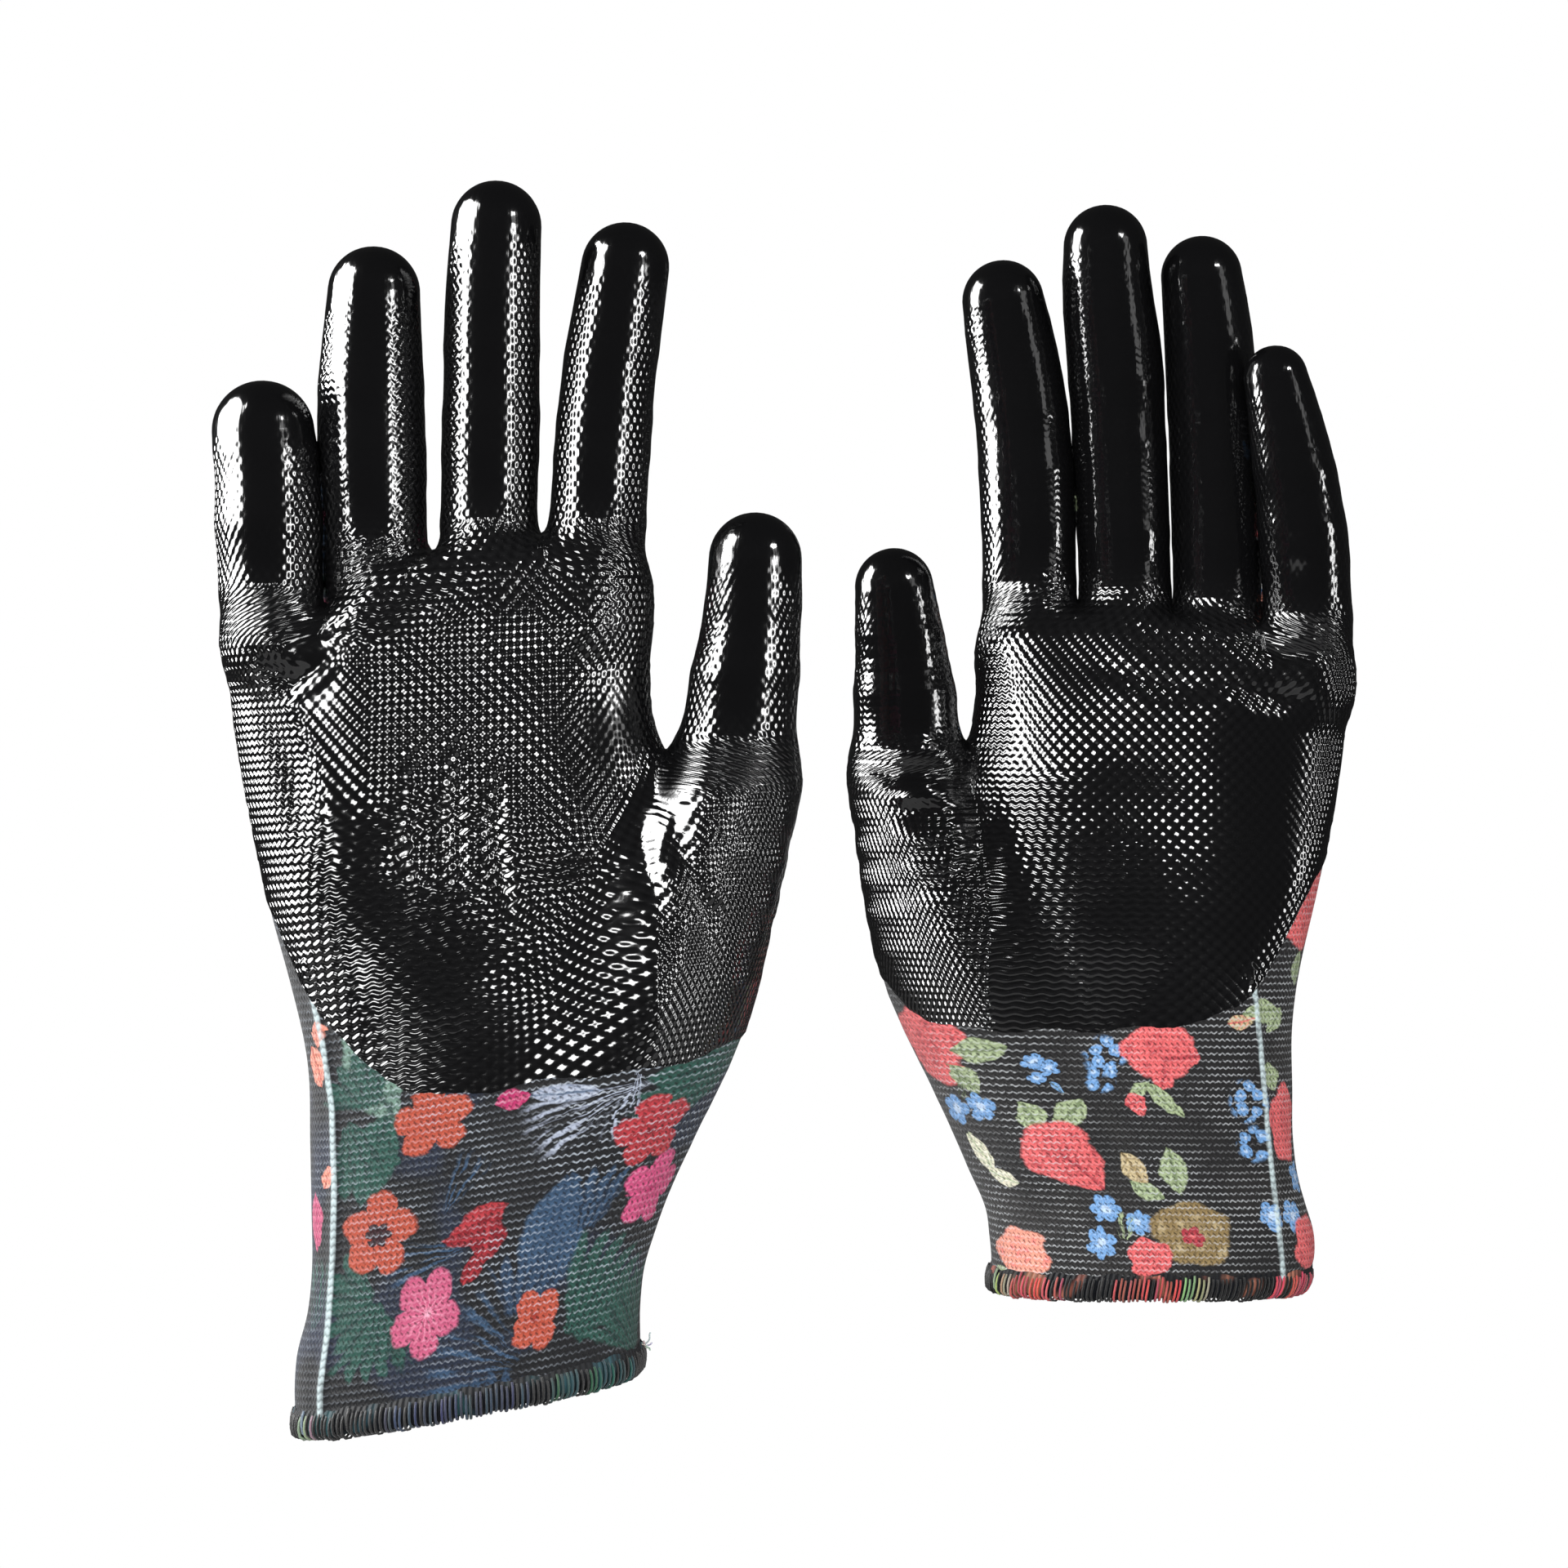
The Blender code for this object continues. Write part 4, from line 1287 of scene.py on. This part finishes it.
def scatter(paint, colour, u, v, shown, cell, salt, kind, size, colours, share=0.8, petals=5.0):
    """One motif at random in each cell, repeating round the hand."""
    across, along = u / cell, v / cell
    i, j = across.floor(), along.floor()
    i = i.modulo(REPEAT / cell)
    x = across.fraction() - 0.5 - (paint.chance(i, j, salt) - 0.5) * 0.34
    y = along.fraction() - 0.5 - (paint.chance(i, j, salt + 1) - 0.5) * 0.34
    turn = paint.chance(i, j, salt + 2) * TURN
    radius = x.length_with(y) / (size / cell)
    beside = ((across.floor() + 0.5) * cell).abs() - COLUMNS[-1] - size
    above = (along.floor() + 0.5) * cell - LEVELS[-1] - size
    clear = beside.most(above).between(-0.01, 0.01)
    there = paint.chance(i, j, salt + 3).between(share - 0.01, share + 0.01).flipped() * shown * clear
    pick = paint.chance(i, j, salt + 4)
    angle = y.angle_with(x) + turn
    first, second, heart = colours
    hue = paint.mix(first, second, pick.between(0.45, 0.55))
    if kind == "flower":
        lobe = (angle * (petals / 2)).cos().abs().power(0.55)
        inside = (lobe * 0.42 + 0.56 - radius).between(-0.05, 0.07) * there
        colour = paint.mix(colour, hue, inside)
        return paint.mix(colour, heart, (radius - 0.24).between(-0.06, 0.06).flipped() * there)
    if kind == "rose":
        edge = (angle * 5.0).cos() * 0.09 + 0.88
        inside = (edge - radius).between(-0.05, 0.06) * there
        whorl = (angle * 2.0 + radius * 11.0).sin() * 0.5 + (angle * 5.0 - radius * 8.0).sin() * 0.3
        return paint.mix(colour, paint.mix(hue, heart, whorl.between(0.1, 0.6)), inside)
    if kind == "fan":
        ray = (angle * petals + radius * 1.5).cos().abs()
        tips = (ray * 0.35 + 0.68 - radius).between(0.0, 0.1) * (radius - 0.12).between(0.0, 0.08)
        return paint.mix(colour, paint.mix(heart, hue, ray.between(0.3, 0.8)), tips * there * 0.95)
    bent = angle.cos() * radius, angle.sin() * radius
    edge = (bent[0] * bent[0]).flipped() - bent[1].abs() * 2.4
    inside = edge.between(0.0, 0.16) * there
    rib = (bent[1].abs() * 12.0 + bent[0] * 8.0).sin().between(0.3, 0.9)
    return paint.mix(colour, paint.mix(hue, heart, rib * 0.6), inside)


def thread_material():
    """Overlock thread, in each stitch's own colour."""
    paint = Paint("hem_thread")
    twist = paint.object_noise(3800.0, 1.0)
    tinted = paint.node("ShaderNodeVertexColor", layer_name="tint").outputs["Color"]
    paint.set("Base Color", paint.mix((0.004, 0.004, 0.005), tinted, twist * 0.4 + 0.7))
    paint.set("Roughness", twist * 0.2 + 0.6)
    paint.set("Sheen Weight", 0.2)
    paint.bump(twist, 0.12)
    return paint.material


def hem_material(name, first, second):
    """The print under the overlock, too narrow to show whole motifs."""
    paint = Paint(name)
    u, v = paint.knit()
    tone = paint.noise(u, v, 0.12, 1.0).between(0.5, 0.62)
    motif = paint.mix(first, second, paint.noise(u + 90.0, v, 0.06))
    colour = paint.mix((0.006, 0.007, 0.009), motif, tone)
    grain = (u * (TURN / PRINT_WALE)).sin() * 0.5 + 0.5
    paint.set("Base Color", paint.mix(colour, (0.003, 0.003, 0.004), grain * 0.5))
    paint.set("Roughness", 0.85)
    paint.bump(grain, 0.3)
    return paint.material


def lining_material():
    """The knit's inner face: speckled grey yarn."""
    paint = Paint("lining_knit")
    speck = paint.object_noise(900.0, 2.0)
    rows = paint.object_noise(160.0, 2.0)
    paint.set("Base Color", paint.mix((0.12, 0.12, 0.125), (0.32, 0.32, 0.33), speck * rows * 2.0))
    paint.set("Roughness", 0.9)
    paint.bump(speck, 0.3)
    return paint.material


def elastic_material():
    paint = Paint("elastic_yarn")
    twist = paint.object_noise(2400.0, 1.0)
    paint.set("Base Color", paint.mix((0.5, 0.5, 0.52), (0.75, 0.75, 0.76), twist))
    paint.set("Roughness", 0.7)
    paint.bump(twist, 0.1)
    return paint.material


BLACK_NAVY = ((0.008, 0.0085, 0.010), (0.014, 0.020, 0.038))
BLACK = ((0.009, 0.0085, 0.009), (0.014, 0.013, 0.013))
ORANGE = (0.46, 0.08, 0.045)
BRICK = (0.30, 0.03, 0.02)
CORAL = (0.86, 0.32, 0.23)
PINK = (0.55, 0.10, 0.20)
BLUSH = (0.85, 0.36, 0.48)
FUCHSIA = (0.62, 0.08, 0.21)
MAGENTA = (0.44, 0.025, 0.12)
RED = (0.21, 0.008, 0.015)
SCARLET = (0.42, 0.035, 0.045)
WINE = (0.03, 0.008, 0.012)
TEAL = (0.022, 0.085, 0.065)
PINE = (0.008, 0.038, 0.032)
JADE = (0.15, 0.25, 0.20)
DENIM = (0.035, 0.075, 0.14)
SEA = (0.028, 0.06, 0.115)
NAVY = (0.010, 0.022, 0.045)
PALE = (0.36, 0.40, 0.50)
SAGE = (0.36, 0.44, 0.25)
MOSS = (0.13, 0.18, 0.08)
SKY = (0.16, 0.34, 0.64)
ICE = (0.50, 0.64, 0.84)
GOLD = (0.24, 0.165, 0.065)
STRAW = (0.55, 0.44, 0.25)
CREAM = (0.82, 0.79, 0.62)
ROSE = (0.74, 0.125, 0.13)
ROSE_DEEP = (0.36, 0.03, 0.045)

# Placed motifs: kind, where round and along the knit, size, and what its function takes.
TROPICAL = (
    ("leaf", -21.0, 67.0, 11.0, 6.0, 118.0, JADE, PINE),
    ("leaf", -24.5, 78.0, 9.0, 3.5, 112.0, JADE, TEAL),
    ("fan", -20.0, 60.0, 13.0, 90.0, 120.0, 5, TEAL, PINE),
    ("leaf", -20.5, 51.0, 9.0, 5.4, 72.0, TEAL, PINE),
    ("fan", -27.0, 60.0, 16.0, 60.0, -66.0, 4, TEAL, PINE),
    ("fan", -18.5, 25.0, 15.5, 70.0, -84.0, 5, TEAL, PINE, 0.04),
    ("fan", -18.5, 25.0, 12.0, 150.0, -170.0, 6, TEAL, PINE, 0.05),
    ("strokes", -15.0, 22.0, 13.0, 80.0, -40.0, 6, PINE),
    ("leaf", 14.5, 30.5, 12.0, 6.2, 84.0, DENIM, SEA),
    ("fan", 20.0, 27.0, 16.0, 44.0, 84.0, 4, DENIM, NAVY, 0.25),
    ("fan", 10.0, 12.0, 17.0, 60.0, 82.0, 5, SEA, NAVY, 0.3),
    ("strokes", -8.0, 36.0, 16.0, 26.0, 58.0, 3, DENIM, 0.2),
    ("strokes", 2.0, 32.0, 20.0, 30.0, 184.0, 4, DENIM, 0.15),
    ("strokes", 14.0, 6.5, 22.0, 80.0, 165.0, 7, DENIM, 0.15),
    ("fan", 6.0, -5.0, 13.0, 120.0, 80.0, 8, SEA, NAVY, 0.3),
    ("fan", 20.0, 9.0, 22.0, 70.0, 58.0, 6, TEAL, PINE),
    ("fan", 40.0, 4.0, 18.0, 80.0, 120.0, 6, TEAL, PINE),
    ("fan", 40.0, 52.0, 16.0, 80.0, 150.0, 6, TEAL, PINE),
    ("fan", 46.0, 60.0, 20.0, 60.0, 190.0, 6, TEAL, PINE),
    ("leaf", 14.0, 57.5, 5.4, 2.0, -8.0, PALE, DENIM),
    ("strokes", 27.5, 57.5, 21.0, 36.0, 200.0, 6, PALE, 0.05),
    ("strokes", 24.5, 60.0, 14.0, 26.0, 262.0, 3, PALE, 0.0),
    ("flower", -9.0, 56.6, 7.8, 6.6, 5.0, 25.0, ORANGE, BRICK, 0.05),
    ("leaf", 6.0, 58.0, 3.4, 2.2, 10.0, MAGENTA, PINK),
    ("flower", -18.8, 37.0, 7.9, 8.0, 5.0, 85.0, ORANGE, BRICK, 0.2),
    ("flower", -18.8, 37.0, 2.6, 2.4, 6.0, 0.0, WINE, WINE, 0.2),
    ("leaf", 0.6, 36.0, 6.6, 3.0, 28.0, SCARLET, RED),
    ("leaf", 3.0, 33.0, 5.0, 3.4, 80.0, RED, SCARLET),
    ("leaf", -1.0, 33.4, 5.0, 1.6, -8.0, RED, SCARLET),
    ("leaf", 0.4, 27.8, 3.4, 2.0, 62.0, RED, SCARLET),
    ("flower", -8.2, 20.8, 6.8, 8.6, 5.0, 60.0, PINK, BLUSH, 0.1),
    ("flower", 13.6, 16.0, 4.8, 6.4, 4.0, 35.0, ORANGE, BRICK, 0.12),
    ("flower", 28.0, 47.4, 6.0, 6.4, 5.0, 30.0, SCARLET, RED, 0.1),
    ("flower", 32.2, 36.0, 6.4, 6.8, 5.0, 10.0, FUCHSIA, MAGENTA, 0.1),
    ("leaf", -32.0, 76.0, 3.0, 2.4, 70.0, CORAL, ORANGE),
    ("leaf", -34.2, 70.2, 4.4, 3.2, 110.0, CORAL, ORANGE),
    ("leaf", -30.8, 49.0, 2.8, 2.2, 60.0, CORAL, ORANGE),
    ("leaf", -35.6, 40.6, 6.0, 3.0, 95.0, PINK, MAGENTA),
    ("fan", -33.0, 88.0, 12.0, 50.0, 100.0, 4, TEAL, PINE),
    ("strokes", -34.0, 18.0, 16.0, 50.0, 90.0, 5, TEAL),
)

COTTAGE = (
    ("rose", -35.0, 55.4, 7.4, 9.4, 10.0, ROSE, ROSE_DEEP),
    ("leaf", -26.6, 54.6, 4.4, 2.9, 5.0, SAGE, MOSS),
    ("leaf", -30.0, 48.4, 4.0, 2.5, -50.0, SAGE, MOSS),
    ("strokes", -30.0, 50.0, 7.0, 60.0, -90.0, 2, MOSS),
    ("flower", -34.6, 41.3, 3.2, 3.2, 5.0, 0.0, SKY, ICE, 0.3),
    ("flower", -28.6, 42.2, 3.0, 3.2, 5.0, 20.0, SKY, ICE, 0.3),
    ("flower", -18.9, 52.8, 1.6, 1.7, 5.0, 0.0, SKY, ICE, 0.3),
    ("flower", -16.4, 51.4, 1.8, 1.8, 5.0, 30.0, SKY, ICE, 0.3),
    ("flower", -18.0, 49.2, 1.6, 1.7, 5.0, 50.0, SKY, ICE, 0.3),
    ("leaf", -15.0, 47.2, 1.6, 0.8, -50.0, SKY, MOSS),
    ("blossoms", -6.0, 53.8, 4.6, SKY, ICE),
    ("blossoms", -7.0, 49.2, 3.2, SKY, ICE),
    ("rose", 5.2, 55.4, 8.2, 6.6, 30.0, ROSE, ROSE_DEEP),
    ("leaf", 9.8, 54.0, 4.4, 3.6, 5.0, ROSE, ROSE_DEEP),
    ("leaf", 5.8, 49.6, 3.4, 2.6, 80.0, ROSE, ROSE_DEEP),
    ("leaf", 0.8, 47.0, 2.8, 1.6, 40.0, SAGE, MOSS),
    ("leaf", 5.8, 44.6, 5.6, 1.7, -45.0, SAGE, MOSS),
    ("leaf", 0.0, 44.0, 2.2, 2.9, 20.0, ROSE, ROSE_DEEP),
    ("leaf", -20.0, 40.6, 3.6, 2.5, 115.0, SAGE, MOSS),
    ("leaf", -13.4, 41.4, 4.4, 3.0, 50.0, SAGE, MOSS),
    ("rose", -16.0, 33.0, 7.6, 7.4, 60.0, ROSE, ROSE_DEEP),
    ("leaf", -12.6, 29.0, 5.0, 4.0, -50.0, ROSE, ROSE_DEEP),
    ("leaf", -32.2, 32.0, 5.0, 2.4, -70.0, CREAM, SAGE),
    ("leaf", -29.0, 27.0, 3.4, 2.0, -20.0, CREAM, SAGE),
    ("leaf", -2.4, 30.0, 4.4, 2.7, 118.0, STRAW, GOLD),
    ("leaf", -0.6, 25.2, 3.6, 2.0, -30.0, SAGE, MOSS),
    ("leaf", 6.0, 29.6, 5.2, 2.9, 95.0, SAGE, MOSS),
    ("flower", -10.4, 21.2, 3.2, 3.2, 6.0, 0.0, SKY, ICE, 0.25),
    ("flower", -3.6, 18.6, 2.8, 2.8, 6.0, 30.0, SKY, ICE, 0.25),
    ("flower", -12.2, 13.8, 2.9, 3.6, 6.0, 20.0, SKY, ICE, 0.25),
    ("strokes", -8.0, 14.0, 7.0, 60.0, 70.0, 2, SAGE),
    ("rose", 7.2, 16.4, 9.0, 7.6, 20.0, GOLD, STRAW),
    ("flower", 6.9, 15.6, 2.6, 2.2, 5.0, 0.0, ROSE_DEEP, ROSE, 0.2),
    ("rose", -2.6, 11.2, 4.8, 4.4, 100.0, ROSE, ROSE_DEEP),
    ("rose", -30.4, 11.0, 7.6, 5.6, 40.0, CORAL, ROSE),
    ("leaf", -37.0, 4.6, 4.4, 2.4, 20.0, SAGE, MOSS),
    ("blossoms", 24.2, 44.6, 4.8, SKY, ICE),
    ("blossoms", 24.8, 35.4, 4.0, SKY, ICE),
    ("leaf", 30.0, 49.6, 3.4, 2.4, 120.0, SAGE, MOSS),
    ("leaf", 31.2, 62.0, 3.4, 2.4, 60.0, SAGE, MOSS),
    ("rose", 34.0, 39.6, 5.4, 9.0, 20.0, ROSE, ROSE_DEEP),
    ("flower", 37.0, 27.6, 3.0, 3.6, 5.0, 0.0, SKY, ICE, 0.25),
    ("flower", 31.4, 19.6, 3.0, 3.6, 5.0, 40.0, SKY, ICE, 0.25),
    ("flower", 25.2, 20.0, 2.6, 3.2, 5.0, 40.0, SKY, ICE, 0.25),
    ("rose", 36.0, 13.6, 6.4, 6.4, 60.0, ROSE, ROSE_DEEP),
    ("leaf", 27.4, 63.8, 4.4, 2.8, 5.0, SAGE, MOSS),
    ("leaf", 23.0, 61.6, 3.0, 1.7, 10.0, STRAW, ROSE),
    ("rose", 36.5, 86.0, 8.0, 9.5, 0.0, ROSE, ROSE_DEEP),
    ("leaf", 37.5, 73.0, 4.0, 2.2, 90.0, SAGE, MOSS),
    ("leaf", 12.0, 5.2, 4.4, 2.4, 0.0, SAGE, MOSS),
)

TROPICAL_LAYERS = (
    {
        "cell": 20.0, "salt": 10, "kind": "fan", "size": 14.0,
        "colours": (TEAL, SEA, NAVY), "share": 1.0, "petals": 6.0,
    },
    {"cell": 15.0, "salt": 20, "kind": "leaf", "size": 9.0, "colours": (TEAL, SEA, PINE), "share": 0.8},
    {
        "cell": 20.0, "salt": 30, "kind": "flower", "size": 7.4,
        "colours": (ORANGE, PINK, WINE), "share": 0.85,
    },
    {
        "cell": 12.0, "salt": 40, "kind": "flower", "size": 3.4,
        "colours": (MAGENTA, CORAL, ORANGE), "share": 0.4, "petals": 4.0,
    },
)

COTTAGE_LAYERS = (
    {
        "cell": 12.0, "salt": 60, "kind": "leaf", "size": 5.6,
        "colours": (SAGE, MOSS, MOSS), "share": 0.7,
    },
    {
        "cell": 20.0, "salt": 70, "kind": "rose", "size": 7.6,
        "colours": (ROSE, CORAL, ROSE_DEEP), "share": 0.85,
    },
    {"cell": 10.0, "salt": 80, "kind": "flower", "size": 2.4, "colours": (SKY, SKY, ICE), "share": 0.5},
    {
        "cell": 15.0, "salt": 90, "kind": "flower", "size": 4.4,
        "colours": (GOLD, CREAM, RED), "share": 0.3, "petals": 6.0,
    },
)


# ---------------------------------------------------------------- light and camera


# Softboxes: azimuth in degrees, distance, lowest and highest edge, width, brightness, what they show
# in, and how the names of the only pieces they light start.
PANELS = (
    ("near_left_wall", -79, 0.41, 0.10, 0.60, 0.40, 24.0, "gloss", "right"),
    ("near_palm_left", -28, 0.90, 0.02, 0.22, 0.20, 25.0, "gloss", "right_palm"),
    ("near_palm_right", 14, 0.90, 0.00, 0.18, 0.14, 17.0, "gloss", "right_palm"),
    ("near_right_wall", 49, 1.15, -0.30, 0.24, 0.40, 4.5, "gloss", "right"),
    ("near_right_strip", 47, 1.12, -0.30, 0.25, 0.15, 24.0, "gloss", "right"),
    ("near_right_high", 48, 1.15, 0.25, 0.80, 0.16, 2.5, "gloss", "right"),
    ("far_left_wall", -98, 0.45, 0.10, 0.60, 0.26, 26.0, "gloss", "left"),
    ("far_palm_side", -66, 0.90, -0.10, 0.30, 0.56, 30.0, "gloss", "left_palm"),
    ("far_palm_left", -28, 0.90, -0.10, 0.20, 0.52, 28.0, "gloss", "left_palm"),
    ("far_right_low", 76, 0.90, -0.10, 0.17, 0.14, 16.0, "gloss", "left"),
    ("far_right_high", 60, 1.00, 0.20, 0.60, 0.20, 1.5, "gloss", "left"),
    ("tip_box", 48, 1.10, 0.62, 0.80, 0.18, 50.0, "gloss", None),
    ("fill", -8, 1.35, 0.0, 1.1, 1.4, 6.8, "diffuse", None),
    ("near_side", -100, 0.8, -0.1, 0.7, 0.5, 6.0, "diffuse", "right"),
    ("near_right_fill", 80, 0.9, -0.1, 0.7, 0.6, 3.0, "diffuse", "right"),
    ("far_left_fill", -80, 0.8, -0.1, 0.7, 0.6, 4.0, "diffuse", "left"),
    ("far_right_fill", 85, 0.9, -0.1, 0.7, 0.6, 2.0, "diffuse", "left"),
)


def panel(name, azimuth, distance, low, high, width, brightness, shows, only):
    """An upright softbox facing the gloves, with its own flags to keep it off the other glove.

    Azimuth 0 is behind the camera and positive to its right.
    """
    light = bpy.data.lights.new(name, "AREA")
    light.shape = "RECTANGLE"
    light.size = width
    light.size_y = high - low
    light.energy = brightness * math.pi * light.size * light.size_y
    made = bpy.data.objects.new(name, light)
    turn = math.radians(azimuth)
    toward = Vector((-math.sin(turn), math.cos(turn), 0))
    made.location = (
        MIDDLE[0] - distance * toward.x,
        MIDDLE[1] - distance * toward.y,
        (low + high) / 2,
    )
    made.rotation_euler = toward.to_track_quat("-Z", "Y").to_euler()
    made.visible_glossy = shows != "diffuse"
    made.visible_diffuse = shows != "gloss"
    made.light_linking.receiver_collection = only
    made.light_linking.blocker_collection = only
    bpy.context.scene.collection.objects.link(made)


def lit_alone(start):
    """The pieces whose names start so, as a collection that a light can be kept to."""
    group = bpy.data.collections.new(f"{start}_lit")
    for obj in bpy.context.scene.objects:
        if obj.name.startswith(start):
            group.objects.link(obj)
    return group


def light_scene():
    """Softboxes that the gloss mirrors, and a broad soft fill for the cloth."""
    groups = {start: lit_alone(start) for start in ("right", "left", "right_palm", "left_palm")}
    for *box, start in PANELS:
        panel(*box, groups.get(start))
    world = bpy.data.worlds.new("studio")
    world.use_nodes = True
    tree = world.node_tree
    dim = tree.nodes["Background"]
    dim.inputs["Color"].default_value = (1, 1, 1, 1)
    dim.inputs["Strength"].default_value = 0.03
    white = tree.nodes.new("ShaderNodeBackground")
    white.inputs["Color"].default_value = (1, 1, 1, 1)
    path = tree.nodes.new("ShaderNodeLightPath")
    mix = tree.nodes.new("ShaderNodeMixShader")
    tree.links.new(path.outputs["Is Camera Ray"], mix.inputs[0])
    tree.links.new(dim.outputs[0], mix.inputs[1])
    tree.links.new(white.outputs[0], mix.inputs[2])
    tree.links.new(mix.outputs[0], tree.nodes["World Output"].inputs["Surface"])
    bpy.context.scene.world = world
    bpy.context.scene.view_settings.view_transform = "Standard"


def add_camera():
    """A level camera in front of the gloves."""
    camera = bpy.data.cameras.new("camera")
    camera.sensor_width = SENSOR_WIDTH
    camera.lens = FOCAL_LENGTH
    made = bpy.data.objects.new("camera", camera)
    made.location = CAMERA_PLACE
    made.rotation_euler = (math.pi / 2, 0, 0)
    bpy.context.scene.collection.objects.link(made)
    bpy.context.scene.camera = made


def add_floor():
    """A plain pale floor under the gloves."""
    mesh = bpy.data.meshes.new("floor")
    shape = bmesh.new()
    bmesh.ops.create_circle(shape, cap_ends=True, segments=96, radius=0.45)
    shape.to_mesh(mesh)
    shape.free()
    paint = Paint("floor")
    paint.set("Base Color", paint.mix((0.9, 0.9, 0.9), (0.93, 0.93, 0.93), paint.object_noise(6.0)))
    paint.set("Roughness", 0.9)
    mesh.materials.append(paint.material)
    made = bpy.data.objects.new("floor", mesh)
    made.location = (0.060, 0.040, -0.16)
    bpy.context.scene.collection.objects.link(made)


# ---------------------------------------------------------------- assembly


def main():
    shared = {
        "coat": coat_material(),
        "lining": lining_material(),
        "elastic": elastic_material(),
        "thread": thread_material(),
    }
    looks = (
        (RIGHT, BLACK_NAVY, TROPICAL_LAYERS, TROPICAL, (0.50, 0.55, 0.62), 0.6, (SEA, TEAL)),
        (LEFT, BLACK, COTTAGE_LAYERS, COTTAGE, (0.50, 0.52, 0.54), 0.0, (ROSE, MOSS)),
    )
    for glove, ground, layers, motifs, outline, fade, hem in looks:
        side = glove["side"]
        materials = dict(shared)
        materials["print"] = print_materials(f"{side}_print", ground, layers, motifs, outline, fade)
        materials["hem"] = hem_material(f"{side}_hem_print", *hem)
        skin = Skin(glove)
        build_skin(skin, materials)
        build_hem(skin, materials)
        build_elastic(skin, materials)
        build_tail(skin, materials)
    add_floor()
    light_scene()
    add_camera()


main()
